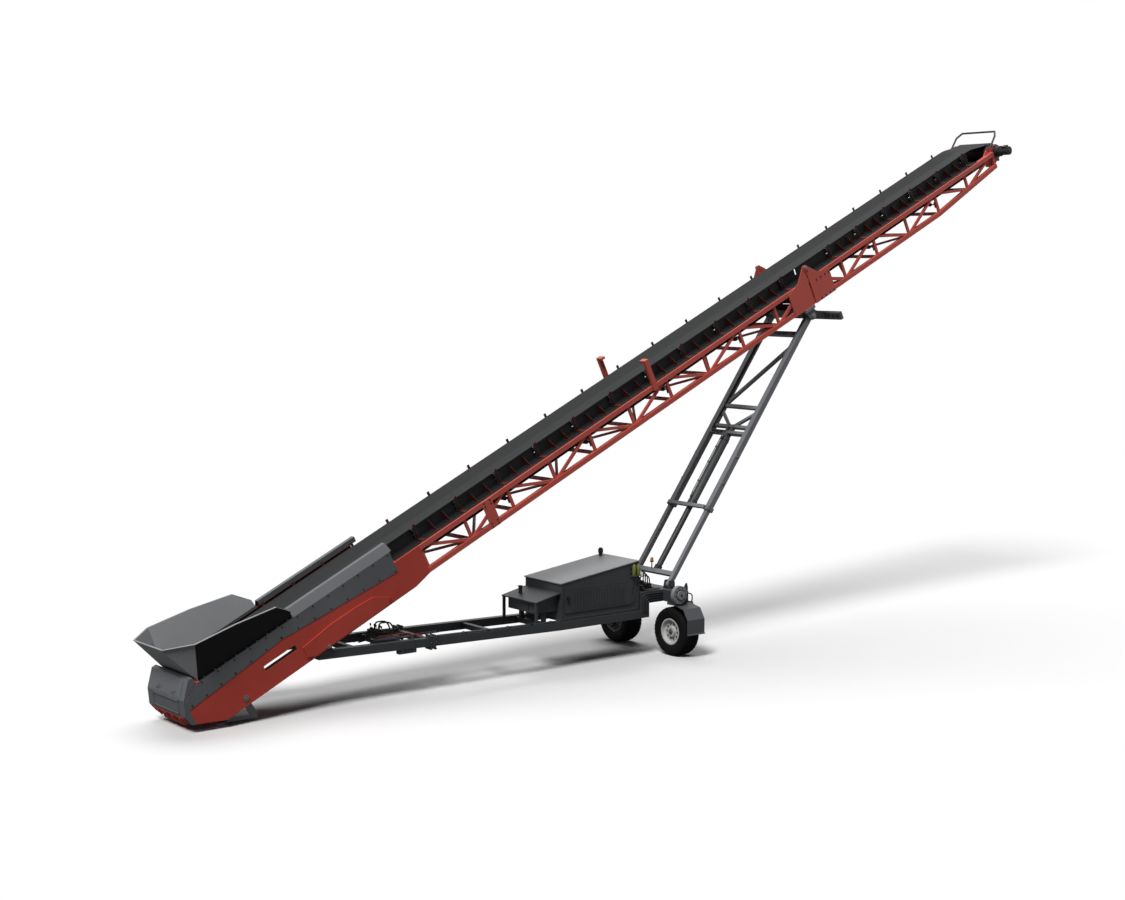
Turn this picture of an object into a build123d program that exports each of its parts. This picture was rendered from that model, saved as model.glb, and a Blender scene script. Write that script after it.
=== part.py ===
from build123d import *
import math
import os

os.makedirs("parts", exist_ok=True)

# Frame: origin on the ground under the tail pivot, X from tail to head, Z up, millimetres.
# Boom pieces are drawn along the boom: x is the run from tail to head, z the height over its axis.

# Boom
BOOM_ANGLE = 25.7
BOOM_DATUM_X = -1400.0
BOOM_HALF_WIDTH = 730.0
CHORD = 100.0
TOP_CHORD_Z = 410.0
BOTTOM_CHORD_Z = -200.0
WEB_BAR = 62.0
WEB_THICK = 50.0
SHEET = 12.0

# Tail section
TAIL_END = 6000.0
TAIL_NOSE = 420.0
TAIL_TOP_Z = 660.0
COVER_END = 5350.0
COVER_THICK = 8.0
DOUBLER_THICK = 30.0
SKIRT_START = 2990.0
SKIRT_TOP_Z = 810.0
SKIRT_TOP_Y = 605.0
SKIRT_INNER_Y = 505.0
SIDE_SLOT = {"x0": 2050.0, "x1": 2790.0, "z0": 70.0, "z1": 170.0}
TAIL_FLANGE = {"x0": 1000.0, "z0": -293.0, "x1": 5600.0, "z1": -273.0, "sheet": 14.0}
TAIL_CROSSES = [
    {"x0": 2150.0, "x1": 2250.0, "z0": -270.0, "z1": -170.0},
    {"x0": 5000.0, "x1": 5100.0, "z0": -250.0, "z1": -150.0},
    {"x0": 760.0, "x1": 840.0, "z0": -110.0, "z1": -30.0},
]
END_CROSS = {"wide": 70.0, "tall": 80.0}

# Hopper
HOPPER_FOOT_Y = 690.0
HOPPER_FLARE_ANGLE = 19.214
HOPPER_SHEET = 10.0
HOPPER_FOOT_BACK = 820.0
HOPPER_FRONT = 2978.0
HOPPER_FRONT_Z = 800.0
HOPPER_BACK = {"x": 500.0, "y": 550.0, "z": 1500.0}
HOPPER_RIM = [(976.0, 1406.0), (1855.0, 1271.0), (2716.0, 1079.0)]

# Fold
FOLD_RUN = 17780.0
FOLD_PIN_Z = 700.0
FOLD_PIN_R = 30.0
FOLD_EYE = 45.0
FOLD_GAP = 4.0
FOLD_PLATE = 15.0
FOLD_PLATE_GAP = 6.0
FOLD_BACK_ANGLE = 0.5
FOLD_PLATE_REACH = 700.0
FOLD_PLATE_CREST = 330.0
FOLD_PLATE_END = 20.0
FOLD_PAD_REACH = 680.0
REST_RUN = 12660.0
REST_CLEAR = 10.0

# Head section
HEAD_END = 24900.0
HEAD_TAPER_RUN = 22500.0
HEAD_TIP_Z = 0.0

# Belt line
PULLEY_R = 200.0
PULLEY_Z = 345.0
PULLEY_HALF = 500.0
PULLEY_SHAFT_R = 45.0
TAIL_PULLEY_RUN = 700.0
HEAD_PULLEY_RUN = 25100.0
BELT = 12.0
BELT_HALF = 460.0
TROUGH_FLAT = 170.0
TROUGH_ANGLE = 25.0
TROUGH_RUN = 800.0
ROLLER_R = 54.0
ROLLER_Z = 500.0
RETURN_ROLLER_R = 45.0
RUNNING_FIT = 0.05

# Carrying idlers: first and last run and count of each row
IDLER_ROWS = {
    "feed": {"first": 1570.0, "last": COVER_END - 80, "count": 6, "half": BOOM_HALF_WIDTH - SHEET},
    "main": {"first": TAIL_END + 190, "last": FOLD_RUN - 530, "count": 11, "half": 690.0},
    "head": {"first": FOLD_RUN + 1140, "last": HEAD_PULLEY_RUN - 1030, "count": 6, "half": 690.0},
}
IDLER_POST_TOP = 745.0

# Lattice panels of each boom section
PANELS = {
    "main": {"first": TAIL_END, "last": FOLD_RUN - FOLD_GAP, "count": 10},
    "head": {"first": FOLD_RUN + FOLD_GAP, "last": HEAD_END, "count": 6},
}

# Drawbar
DRAWBAR_Y = 600.0
BEAM_WIDTH = 150.0
BEAM_DEPTH = 170.0
BEAM_OUT = DRAWBAR_Y + BEAM_WIDTH / 2
BEAM_IN = DRAWBAR_Y - BEAM_WIDTH / 2
BEAM_CLEAR = 10.0
BEAM_FRONT_X = 1580.0
BEAM_FRONT_TOP = 1160.0
BEAM_LEVEL_X = 7400.0
BEAM_LEVEL_TOP = 1020.0
BEAM_END_X = 9800.0
HINGE_X = 1760.0
HINGE_Z = 1250.0
HINGE_PIN_R = 45.0
HINGE_EYE_R = 90.0
DRAWBAR_CROSSES = [2450.0, 3300.0, 4150.0, 5750.0, 7150.0, 8300.0, 9420.0]
CROSS_WIDTH = 100.0
CROSS_DEPTH = 110.0
CROSS_DROP = 25.0

# Axle and wheels
AXLE_X = 10350.0
AXLE_HALF = 1150.0
AXLE_WIDTH = 300.0
AXLE_BOTTOM = 1160.0
AXLE_TOP = 1410.0
KINGPIN_Y = 950.0
KINGPIN_R = 60.0
TYRE_R = 530.0
TYRE_WIDTH = 440.0
RIM_R = 286.0
STUB_R = 50.0
CARRIER_TOP = 1150.0
CARRIER_ARM = 60.0
CARRIER_REACH = 280.0
MUDGUARD_BACK = 230.0
MUDGUARD_FRONT = 255.0
GEAR_CASE = {"x": 10190.0, "z": 1365.0, "r": 195.0, "deep": 90.0, "cap_r": 95.0, "cap_deep": 40.0}

# Power pack
PACK_X0 = 7440.0
PACK_X1 = 9560.0
PACK_HALF = 620.0
PACK_FLOOR = 80.0
PACK_LOW_TOP = 1810.0
PACK_HIGH_TOP = 2085.0
PACK_BREAK_X = 9500.0
PACK_WALL = 10.0
DOOR = {"x0": 7520.0, "x1": 9340.0, "z0": 1180.0, "z1": 1700.0, "thick": 16.0, "lap": 30.0, "gap": 6.0}
LOUVRES = {"first": 7740.0, "pitch": 72.0, "count": 20, "width": 30.0, "proud": 12.0}
LOUVRE_Z = (1240.0, 1640.0)
ENGINE = {"x0": 8300.0, "x1": 9300.0, "half": 330.0, "tall": 640.0}
STACK = {"x": 9420.0, "y": 520.0, "r": 42.0, "cap_r": 56.0, "low": 60.0, "high": 170.0}

# Front tank and valve bank
TANK = {"x0": 6870.0, "x1": 7430.0, "half": 470.0, "z0": 1230.0}
TANK_LID = {"x0": 6790.0, "half": 600.0, "low": 1490.0, "high": 1630.0, "sheet": 25.0}
TANK_POST = {"x": 6825.0, "y": 560.0, "half": 25.0}
TANK_SADDLE = {"x": 7150.0, "y": 380.0, "half": 40.0}
FILLER = {"x": 7060.0, "y": 300.0, "r": 40.0, "tall": 130.0}
VALVES = {"x": 3300.0, "half": 260.0, "foot_half": 330.0, "width": 120.0, "foot": 30.0, "tall": 150.0}

# Leg frame
LEG_FOOT_X = 10430.0
LEG_FOOT_Z = 1485.0
LEG_HEAD_BACK = 180.0
LEG_HEAD_RUN = FOLD_RUN - LEG_HEAD_BACK
LEG_HEAD_Z = -420.0
LEG_Y = 600.0
LEG_INNER = 100.0
LEG_OUTER = 130.0
LEG_WALL = 8.0
LEG_INNER_LENGTH = 4200.0
LEG_OUTER_START = 1880.0
LEG_PIN_R = 36.0
LEG_EYE_R = 65.0
LEG_HEAD_R = 80.0

# Hydraulic ram on the leg frame
RAM_ROD_R = 66.0
RAM_BORE_R = 78.0
RAM_BARREL_R = 95.0
RAM_MOUTH = 2000.0
RAM_END = 3760.0
RAM_ROD_END = 2380.0
TOP_BAR_BACK = 582.0
UPPER_BAR_STEP = 700.0

# Light bar
LIGHT_AHEAD = 540.0
LIGHT_HALF = 1000.0
LIGHT_TALL = 180.0
LIGHT_DEEP = 80.0
LIGHT_DROP = 280.0
LAMPS = {"r": 55.0, "deep": 30.0, "spots": [90.0, 230.0, 370.0]}

# Belt shields between the idlers: angle sheets that lie on the chords
SHIELD_IN = 400.0
SHIELD_OUT = 690.0
SHIELD_SHEET = 8.0
SHIELD_TOP = 630.0
SHIELD_GAP = 60.0
SHIELD_ENDS = {
    "main": {"first": COVER_END + 70, "last": FOLD_RUN - 20},
    "head": {"first": FOLD_RUN + 20, "last": HEAD_PULLEY_RUN - TROUGH_RUN},
}

# Tail pivot
YOKE_PIN_Z = 500.0
YOKE_Y = 540.0
YOKE_PLATE = 40.0
YOKE_PIN_R = 50.0
BASE_R = 420.0
BASE_PLATE = 60.0
PIVOT_R = 60.0
PIVOT_GAP = 5.0
ANCHOR_PCD = 680.0
ANCHOR_R = 13.0
ANCHOR_COUNT = 6


def prism(points, travel):
    outline = Wire.make_polygon([Vector(*point) for point in points], close=True)
    return Solid.extrude(Face(outline), Vector(*travel))


def slab(outline, y0, y1):
    return prism([(x, y0, z) for x, z in outline], (0, y1 - y0, 0))


def run(outline, x0, x1):
    return prism([(x0, y, z) for y, z in outline], (x1 - x0, 0, 0))


def plate(outline, z0, z1):
    return prism([(x, y, z0) for x, y in outline], (0, 0, z1 - z0))


def block(x, y, z):
    size = Box(x[1] - x[0], y[1] - y[0], z[1] - z[0])
    return Pos((x[0] + x[1]) / 2, (y[0] + y[1]) / 2, (z[0] + z[1]) / 2) * size


def round_x(y, z, r, x):
    return Pos((x[0] + x[1]) / 2, y, z) * Rot(0, 90, 0) * Cylinder(r, x[1] - x[0])


def round_y(x, z, r, y):
    return Pos(x, (y[0] + y[1]) / 2, z) * Rot(90, 0, 0) * Cylinder(r, y[1] - y[0])


def round_z(x, y, r, z):
    return Pos(x, y, (z[0] + z[1]) / 2) * Cylinder(r, z[1] - z[0])


def bar(start, end, width, y0, y1):
    dx = end[0] - start[0]
    dz = end[1] - start[1]
    length = math.hypot(dx, dz)
    ox = -dz / length * width / 2
    oz = dx / length * width / 2
    corners = [
        (start[0] + ox, start[1] + oz),
        (end[0] + ox, end[1] + oz),
        (end[0] - ox, end[1] - oz),
        (start[0] - ox, start[1] - oz),
    ]
    return slab(corners, y0, y1)


def flat_bar(start, end, width, z0, z1):
    dx = end[0] - start[0]
    dy = end[1] - start[1]
    length = math.hypot(dx, dy)
    ox = -dy / length * width / 2
    oy = dx / length * width / 2
    corners = [
        (start[0] + ox, start[1] + oy),
        (end[0] + ox, end[1] + oy),
        (end[0] - ox, end[1] - oy),
        (start[0] - ox, start[1] - oy),
    ]
    return plate(corners, z0, z1)


def mirrored(shape):
    return mirror(shape, about=Plane.XZ)


def join(shapes):
    return Part() + list(shapes)


def pair(shape):
    return [shape, mirrored(shape)]


def on_boom(shape):
    return Pos(BOOM_DATUM_X, 0, 0) * Rot(0, -BOOM_ANGLE, 0) * shape


def boom_point(along, height):
    angle = math.radians(BOOM_ANGLE)
    x = BOOM_DATUM_X + along * math.cos(angle) - height * math.sin(angle)
    z = along * math.sin(angle) + height * math.cos(angle)
    return x, z


def to_boom(x, z):
    angle = math.radians(BOOM_ANGLE)
    dx = x - BOOM_DATUM_X
    return dx * math.cos(angle) + z * math.sin(angle), -dx * math.sin(angle) + z * math.cos(angle)


LEG_HEAD_X, LEG_HEAD_TOP = boom_point(LEG_HEAD_RUN, LEG_HEAD_Z)
LEG_LENGTH = math.hypot(LEG_HEAD_X - LEG_FOOT_X, LEG_HEAD_TOP - LEG_FOOT_Z)
LEG_ANGLE = math.degrees(math.atan2(LEG_HEAD_TOP - LEG_FOOT_Z, LEG_HEAD_X - LEG_FOOT_X))


def on_leg(shape):
    return Pos(LEG_FOOT_X, 0, LEG_FOOT_Z) * Rot(0, -LEG_ANGLE, 0) * shape


def save(name, shapes):
    solids = shapes if isinstance(shapes, list) else [shapes]
    loose = [solid for shape in solids for solid in shape.solids()]
    export_step(Compound(loose), "parts/" + name + ".step")


# Lattice trusses
CHORD_IN = BOOM_HALF_WIDTH - CHORD
WEB_OUT = BOOM_HALF_WIDTH - (CHORD - WEB_THICK) / 2
WEB_IN = WEB_OUT - WEB_THICK


def panel_runs(section):
    row = PANELS[section]
    step = (row["last"] - row["first"]) / row["count"]
    return [row["first"] + step * index for index in range(row["count"] + 1)]


def bottom_z(along):
    if along <= HEAD_TAPER_RUN:
        return BOTTOM_CHORD_Z
    share = (along - HEAD_TAPER_RUN) / (HEAD_END - HEAD_TAPER_RUN)
    return BOTTOM_CHORD_Z + share * (HEAD_TIP_Z - BOTTOM_CHORD_Z)


def truss(section):
    runs = panel_runs(section)
    first = runs[0]
    last = runs[-1]
    side = [block((first, last), (CHORD_IN, BOOM_HALF_WIDTH), (TOP_CHORD_Z - CHORD, TOP_CHORD_Z))]
    breaks = [along for along in (first, HEAD_TAPER_RUN, last) if first <= along <= last]
    upper = [(along, bottom_z(along) + CHORD) for along in breaks]
    lower = [(along, bottom_z(along)) for along in reversed(breaks)]
    side.append(slab(upper + lower, CHORD_IN, BOOM_HALF_WIDTH))
    for index, along in enumerate(runs):
        middle = min(max(along, first + WEB_BAR / 2), last - WEB_BAR / 2)
        foot = bottom_z(middle) + CHORD / 2
        side.append(bar((middle, foot), (middle, TOP_CHORD_Z - CHORD / 2), WEB_BAR, WEB_IN, WEB_OUT))
        if index < len(runs) - 1:
            ahead = runs[index + 1]
            low = min(max(along if index % 2 else ahead, first + CHORD), last - CHORD)
            high = min(max(ahead if index % 2 else along, first + CHORD), last - CHORD)
            start = (low, bottom_z(low) + CHORD / 2)
            side.append(bar(start, (high, TOP_CHORD_Z - CHORD / 2), WEB_BAR, WEB_IN, WEB_OUT))
    pieces = side + [mirrored(piece) for piece in side]
    for along in [along for along in runs if along < HEAD_END]:
        middle = min(max(along, first + WEB_BAR / 2), last - WEB_BAR / 2)
        low = bottom_z(middle) + 15
        half = WEB_BAR / 2
        pieces.append(block((middle - half, middle + half), (-CHORD_IN - 20, CHORD_IN + 20), (low, low + 60)))
    flat = [along for along in runs if along <= HEAD_TAPER_RUN]
    for index in range(len(flat) - 1):
        hand = 1 if index % 2 else -1
        start = (flat[index] + 60, -hand * (CHORD_IN + 10))
        end = (flat[index + 1] - 60, hand * (CHORD_IN + 10))
        pieces.append(flat_bar(start, end, 55, BOTTOM_CHORD_Z + 25, BOTTOM_CHORD_Z + 65))
    return join(pieces)


save("main_truss", on_boom(truss("main")))
save("head_truss", on_boom(truss("head")))

splice_run = panel_runs("main")[1] + 600
splice = block(
    (splice_run - 130, splice_run + 130),
    (BOOM_HALF_WIDTH, BOOM_HALF_WIDTH + SHEET),
    (BOTTOM_CHORD_Z, TOP_CHORD_Z),
)
save("splice_plates", [on_boom(piece) for piece in pair(splice)])

# Tail frame: two plated sides, their flanges and cross members
yoke_run, yoke_height = to_boom(0.0, YOKE_PIN_Z)
hinge_run, hinge_height = to_boom(HINGE_X, HINGE_Z)
TAIL_IN = BOOM_HALF_WIDTH - SHEET
side_outline = [
    (TAIL_NOSE, -20.0),
    (985.0, -300.0),
    (5600.0, -280.0),
    (TAIL_END, BOTTOM_CHORD_Z),
    (TAIL_END, TOP_CHORD_Z),
    (COVER_END, TOP_CHORD_Z),
    (COVER_END, TAIL_TOP_Z),
    (760.0, TAIL_TOP_Z),
    (TAIL_NOSE, 450.0),
]
slot_x = (SIDE_SLOT["x0"], SIDE_SLOT["x1"])
slot_z = (SIDE_SLOT["z0"], SIDE_SLOT["z1"])
slot = block(slot_x, (TAIL_IN - 5, BOOM_HALF_WIDTH + 5), slot_z)
flange_start = (TAIL_FLANGE["x0"], TAIL_FLANGE["z0"])
flange_end = (TAIL_FLANGE["x1"], TAIL_FLANGE["z1"])
end_cross = (TAIL_END - END_CROSS["wide"], TAIL_END)
doubler_outline = [
    (2900.0, 40.0),
    (3600.0, 110.0),
    (4220.0, 105.0),
    (4630.0, 75.0),
    (4970.0, -130.0),
    (4900.0, -250.0),
    (3060.0, -258.0),
    (2900.0, -180.0),
]
tail_side = [
    slab(side_outline, TAIL_IN, BOOM_HALF_WIDTH) - slot,
    slab(doubler_outline, BOOM_HALF_WIDTH - 2, BOOM_HALF_WIDTH + DOUBLER_THICK),
    block((760, COVER_END), (CHORD_IN, TAIL_IN + 4), (TAIL_TOP_Z - SHEET, TAIL_TOP_Z)),
    block((COVER_END, TAIL_END), (CHORD_IN, TAIL_IN + 4), (TOP_CHORD_Z - SHEET, TOP_CHORD_Z)),
    block(end_cross, (CHORD_IN, TAIL_IN + 4), (BOTTOM_CHORD_Z, TOP_CHORD_Z)),
    bar(flange_start, flange_end, TAIL_FLANGE["sheet"], BEAM_OUT + BEAM_CLEAR, TAIL_IN + 4),
    round_y(hinge_run, hinge_height, HINGE_PIN_R, (DRAWBAR_Y - 40, TAIL_IN + 4)),
    round_y(yoke_run, yoke_height, YOKE_PIN_R, (YOKE_Y - YOKE_PLATE, TAIL_IN + 4)),
]
end_cross_z = (BOTTOM_CHORD_Z, BOTTOM_CHORD_Z + END_CROSS["tall"])
tail_cross = [block(end_cross, (-CHORD_IN - 4, CHORD_IN + 4), end_cross_z)]
for cross in TAIL_CROSSES:
    cross_x = (cross["x0"], cross["x1"])
    tail_cross.append(block(cross_x, (-TAIL_IN - 4, TAIL_IN + 4), (cross["z0"], cross["z1"])))
tail_frame = join(tail_side + [mirrored(piece) for piece in tail_side] + tail_cross)
save("tail_frame", on_boom(tail_frame))

cover_outline = [
    (TAIL_NOSE, 290.0),
    (1500.0, 345.0),
    (2600.0, 415.0),
    (COVER_END, 210.0),
    (COVER_END, TAIL_TOP_Z),
    (760.0, TAIL_TOP_Z),
    (TAIL_NOSE, 450.0),
]
cover = slab(cover_outline, BOOM_HALF_WIDTH, BOOM_HALF_WIDTH + COVER_THICK)
save("side_covers", [on_boom(piece) for piece in pair(cover)])

# Tail guard round the tail pulley
guard_nose = [(TAIL_NOSE, -20.0), (345.0, 10.0), (290.0, 210.0), (395.0, 500.0)]
guard_outer = guard_nose + [(640.0, 790.0), (730.0, 790.0)]
guard_back = [(730.0, 778.0), (646.0, 778.0), (406.0, 494.0)]
guard_inner = guard_back + [(303.0, 208.0), (355.0, 18.0), (TAIL_NOSE, -8.0)]
guard_cheek = guard_nose + [(TAIL_NOSE, 530.0)]
cheek_tip = [
    (TAIL_NOSE - 2, 528.0),
    (TAIL_NOSE - 2, 450.0),
    (TAIL_NOSE, 450.0),
    (730.0, TAIL_TOP_Z + 1),
    (730.0, 790.0),
    (640.0, 790.0),
]
lip = block((345, TAIL_NOSE), (-420, 420), (-60, -5))
guard = join(
    [slab(guard_outer + guard_inner, -BOOM_HALF_WIDTH, BOOM_HALF_WIDTH)]
    + pair(slab(guard_cheek, TAIL_IN, BOOM_HALF_WIDTH))
    + pair(slab(cheek_tip, TAIL_IN, BOOM_HALF_WIDTH))
    + [lip]
)
save("tail_guard", on_boom(guard))

# Hopper: flat flared sides, cut corners and a sloped back


def flare(z):
    return HOPPER_FOOT_Y + (z - TAIL_TOP_Z) * math.tan(math.radians(HOPPER_FLARE_ANGLE))


hopper_foot_back = (HOPPER_FOOT_BACK, HOPPER_FOOT_Y, TAIL_TOP_Z)
hopper_foot_front = (HOPPER_FRONT, HOPPER_FOOT_Y, TAIL_TOP_Z)
hopper_back = (HOPPER_BACK["x"], HOPPER_BACK["y"], HOPPER_BACK["z"])
hopper_rim = [(along, flare(height), height) for along, height in HOPPER_RIM]
hopper_front = (HOPPER_FRONT, flare(HOPPER_FRONT_Z), HOPPER_FRONT_Z)


def panel(points, toward, thick):
    corners = [Vector(*point) for point in points]
    normal = (corners[1] - corners[0]).cross(corners[2] - corners[0]).normalized()
    if normal.dot(Vector(*toward) - corners[0]) < 0:
        normal = normal * -1
    return prism(points, normal * thick)


hopper_middle = ((HOPPER_FOOT_BACK + HOPPER_FRONT) / 2, 0.0, (TAIL_TOP_Z + HOPPER_BACK["z"]) / 2)
side_corners = [hopper_foot_back] + hopper_rim + [hopper_front, hopper_foot_front]
hopper_side = panel(side_corners, hopper_middle, HOPPER_SHEET)
hopper_corner = panel([hopper_foot_back, hopper_back, hopper_rim[0]], hopper_middle, HOPPER_SHEET)
back_corners = [hopper_foot_back, hopper_back]
back_mirror = [(x, -y, z) for x, y, z in reversed(back_corners)]
hopper_end = panel(back_corners + back_mirror, hopper_middle, HOPPER_SHEET)
hopper = join([hopper_end] + pair(hopper_side) + pair(hopper_corner))
floor_cut = block((-500, HOPPER_FRONT + 500), (-2000, 2000), (0, TAIL_TOP_Z))
save("hopper", on_boom(hopper - floor_cut))

# Feed boot skirts
skirt_outline = [
    (BOOM_HALF_WIDTH, TAIL_TOP_Z),
    (SKIRT_TOP_Y, SKIRT_TOP_Z),
    (SKIRT_INNER_Y, SKIRT_TOP_Z),
    (SKIRT_INNER_Y, 706.0),
    (SKIRT_INNER_Y + SHEET, 706.0),
    (SKIRT_INNER_Y + SHEET, SKIRT_TOP_Z - SHEET),
    (SKIRT_TOP_Y - 8, SKIRT_TOP_Z - SHEET),
    (BOOM_HALF_WIDTH - 35, TAIL_TOP_Z + 14),
    (BOOM_HALF_WIDTH - 35, TAIL_TOP_Z),
]
save("skirts", [on_boom(piece) for piece in pair(run(skirt_outline, SKIRT_START, COVER_END + 50))])


# Pulleys
def pulley(along, half):
    drum = round_y(along, PULLEY_Z, PULLEY_R, (-PULLEY_HALF, PULLEY_HALF))
    return join([drum, round_y(along, PULLEY_Z, PULLEY_SHAFT_R, (-half, half))])


BEARING_IN = CHORD_IN - 30
save("tail_pulley", on_boom(pulley(TAIL_PULLEY_RUN, TAIL_IN)))
save("head_pulley", on_boom(pulley(HEAD_PULLEY_RUN, BEARING_IN)))


# Carrying idlers: foot, brackets and three rollers
def roller(length):
    outer = RegularPolygon(ROLLER_R, 12, major_radius=False, rotation=15)
    return extrude(Plane.XZ * outer, amount=length / 2, both=True)


def idler(along, half):
    angle = math.radians(TROUGH_ANGLE)
    wing = 270.0
    mid_y = TROUGH_FLAT + 8 + wing / 2 * math.cos(angle) + ROLLER_R * math.sin(angle)
    mid_z = ROLLER_Z + ROLLER_R + wing / 2 * math.sin(angle) - ROLLER_R * math.cos(angle) - 1
    tip_y = mid_y + (wing / 2) * math.cos(angle)
    tip_z = mid_z + (wing / 2) * math.sin(angle)
    foot = block((-45, 45), (-half, half), (TOP_CHORD_Z, TOP_CHORD_Z + 20))
    stand = block((-30, 30), (TROUGH_FLAT - 6, TROUGH_FLAT + 26), (TOP_CHORD_Z + 15, ROLLER_Z + 20))
    lean = (IDLER_POST_TOP - TOP_CHORD_Z - 15) * 38 / (tip_z - TOP_CHORD_Z + 10)
    post = bar((tip_y - 20, TOP_CHORD_Z + 15), (tip_y - 20 + lean, IDLER_POST_TOP), 26, -30, 30)
    post = Rot(0, 0, 90) * post
    right = Pos(0, mid_y, mid_z) * Rot(TROUGH_ANGLE, 0, 0) * roller(wing + 20)
    centre = Pos(0, 0, ROLLER_Z) * roller(TROUGH_FLAT * 2 + 8)
    whole = join([foot, centre, stand, mirrored(stand), right, mirrored(right), post, mirrored(post)])
    return Pos(along, 0, 0) * whole


def idler_runs(name):
    row = IDLER_ROWS[name]
    pitch = (row["last"] - row["first"]) / (row["count"] - 1)
    return [row["first"] + pitch * index for index in range(row["count"])]


def idler_row(name):
    row = IDLER_ROWS[name]
    one = idler(0.0, row["half"])
    return [Pos(along, 0, 0) * one for along in idler_runs(name)]


save("carry_idlers_main", [on_boom(piece) for piece in idler_row("main") + idler_row("feed")])
save("carry_idlers_head", [on_boom(piece) for piece in idler_row("head")])


# Belt shields between the idlers
shield_outline = [
    (SHIELD_IN, TOP_CHORD_Z),
    (SHIELD_OUT, TOP_CHORD_Z),
    (SHIELD_OUT, TOP_CHORD_Z + SHIELD_SHEET),
    (SHIELD_IN + SHIELD_SHEET, TOP_CHORD_Z + SHIELD_SHEET),
    (SHIELD_IN + SHIELD_SHEET, SHIELD_TOP),
    (SHIELD_IN, SHIELD_TOP),
]
for name, ends in SHIELD_ENDS.items():
    stops = idler_runs(name)
    starts = [ends["first"]] + [stop + SHIELD_GAP for stop in stops]
    finishes = [stop - SHIELD_GAP for stop in stops] + [ends["last"]]
    shields = []
    for start, end in zip(starts, finishes):
        shields = shields + pair(run(shield_outline, start, end))
    save("belt_shields_" + name, [on_boom(shield) for shield in shields])


# Return rollers between the web bars
RETURN_TOP = PULLEY_Z - PULLEY_R - BELT


def return_roller(along):
    face = RegularPolygon(RETURN_ROLLER_R, 12, major_radius=False, rotation=15)
    tube = extrude(Plane.XZ * face, amount=PULLEY_HALF, both=True)
    whole = join([tube, round_y(0, 0, 14, (-WEB_IN, WEB_IN))])
    return Pos(along, 0, RETURN_TOP - RETURN_ROLLER_R) * whole


main_runs = panel_runs("main")
head_runs = panel_runs("head")
save("return_rollers_main", [on_boom(return_roller(along)) for along in main_runs[2:-1:2]])
save("return_rollers_head", [on_boom(return_roller(along)) for along in head_runs[2:-1:2]])

# Belt
trough_angle = math.radians(TROUGH_ANGLE)
wing_length = BELT_HALF - TROUGH_FLAT
wing_y = TROUGH_FLAT + wing_length * math.cos(trough_angle)
wing_z = wing_length * math.sin(trough_angle)
carry_z = ROLLER_Z + ROLLER_R
bend_y = BELT * math.tan(trough_angle / 2)
half_under = [(TROUGH_FLAT, carry_z), (wing_y, carry_z + wing_z)]
half_over = [
    (wing_y - BELT * math.sin(trough_angle), carry_z + wing_z + BELT * math.cos(trough_angle)),
    (TROUGH_FLAT - bend_y, carry_z + BELT),
]
trough = half_under + half_over
trough = trough + [(-y, z) for y, z in reversed(trough)]
flat_under = [(TROUGH_FLAT, PULLEY_Z + PULLEY_R), (BELT_HALF, PULLEY_Z + PULLEY_R)]
flat_over = [(BELT_HALF, PULLEY_Z + PULLEY_R + BELT), (TROUGH_FLAT, PULLEY_Z + PULLEY_R + BELT)]
flat = flat_under + flat_over
flat = flat + [(-y, z) for y, z in reversed(flat)]


def section(outline, along):
    return Face(Wire.make_polygon([Vector(along, y, z) for y, z in outline], close=True))


def wrap(along, hand):
    ring = round_y(along, PULLEY_Z, PULLEY_R + BELT, (-BELT_HALF, BELT_HALF))
    ring = ring - round_y(along, PULLEY_Z, PULLEY_R, (-BELT_HALF - 1, BELT_HALF + 1))
    keep = block(
        (along, along + hand * 500) if hand > 0 else (along - 500, along),
        (-BELT_HALF - 2, BELT_HALF + 2),
        (PULLEY_Z - 400, PULLEY_Z + 400),
    )
    return ring & keep


def return_strand(start, end):
    return block((start, end), (-BELT_HALF, BELT_HALF), (RETURN_TOP, RETURN_TOP + BELT))


tail_flat = TAIL_PULLEY_RUN
belt_main = join(
    [
        run(trough, tail_flat + TROUGH_RUN, FOLD_RUN - FOLD_GAP),
        Solid.make_loft(
            [section(flat, tail_flat).outer_wire(), section(trough, tail_flat + TROUGH_RUN).outer_wire()],
            True,
        ),
        wrap(TAIL_PULLEY_RUN, -1),
        return_strand(TAIL_PULLEY_RUN, FOLD_RUN - FOLD_GAP),
    ]
)
save("belt_main", on_boom(belt_main))
belt_head = join(
    [
        run(trough, FOLD_RUN + FOLD_GAP, HEAD_PULLEY_RUN - TROUGH_RUN),
        Solid.make_loft(
            [
                section(trough, HEAD_PULLEY_RUN - TROUGH_RUN).outer_wire(),
                section(flat, HEAD_PULLEY_RUN).outer_wire(),
            ],
            True,
        ),
        wrap(HEAD_PULLEY_RUN, 1),
        return_strand(FOLD_RUN + FOLD_GAP, HEAD_PULLEY_RUN),
    ]
)
save("belt_head", on_boom(belt_head))

# Fold plates and their pins
fold_main = [
    (FOLD_RUN - FOLD_PLATE_REACH, BOTTOM_CHORD_Z),
    (FOLD_RUN - FOLD_PLATE_END, BOTTOM_CHORD_Z),
    (FOLD_RUN - FOLD_PLATE_END, FOLD_PIN_Z - 230),
    (FOLD_RUN + FOLD_EYE, FOLD_PIN_Z - FOLD_EYE),
    (FOLD_RUN + FOLD_EYE, FOLD_PIN_Z + FOLD_EYE / 2),
    (FOLD_RUN + FOLD_EYE / 2, FOLD_PIN_Z + FOLD_EYE),
    (FOLD_RUN - FOLD_EYE, FOLD_PIN_Z + FOLD_EYE),
    (FOLD_RUN - FOLD_PLATE_CREST, TOP_CHORD_Z + 40),
    (FOLD_RUN - FOLD_PLATE_REACH, TOP_CHORD_Z - 60),
]
main_plate = slab(fold_main, BOOM_HALF_WIDTH, BOOM_HALF_WIDTH + FOLD_PLATE)
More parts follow.
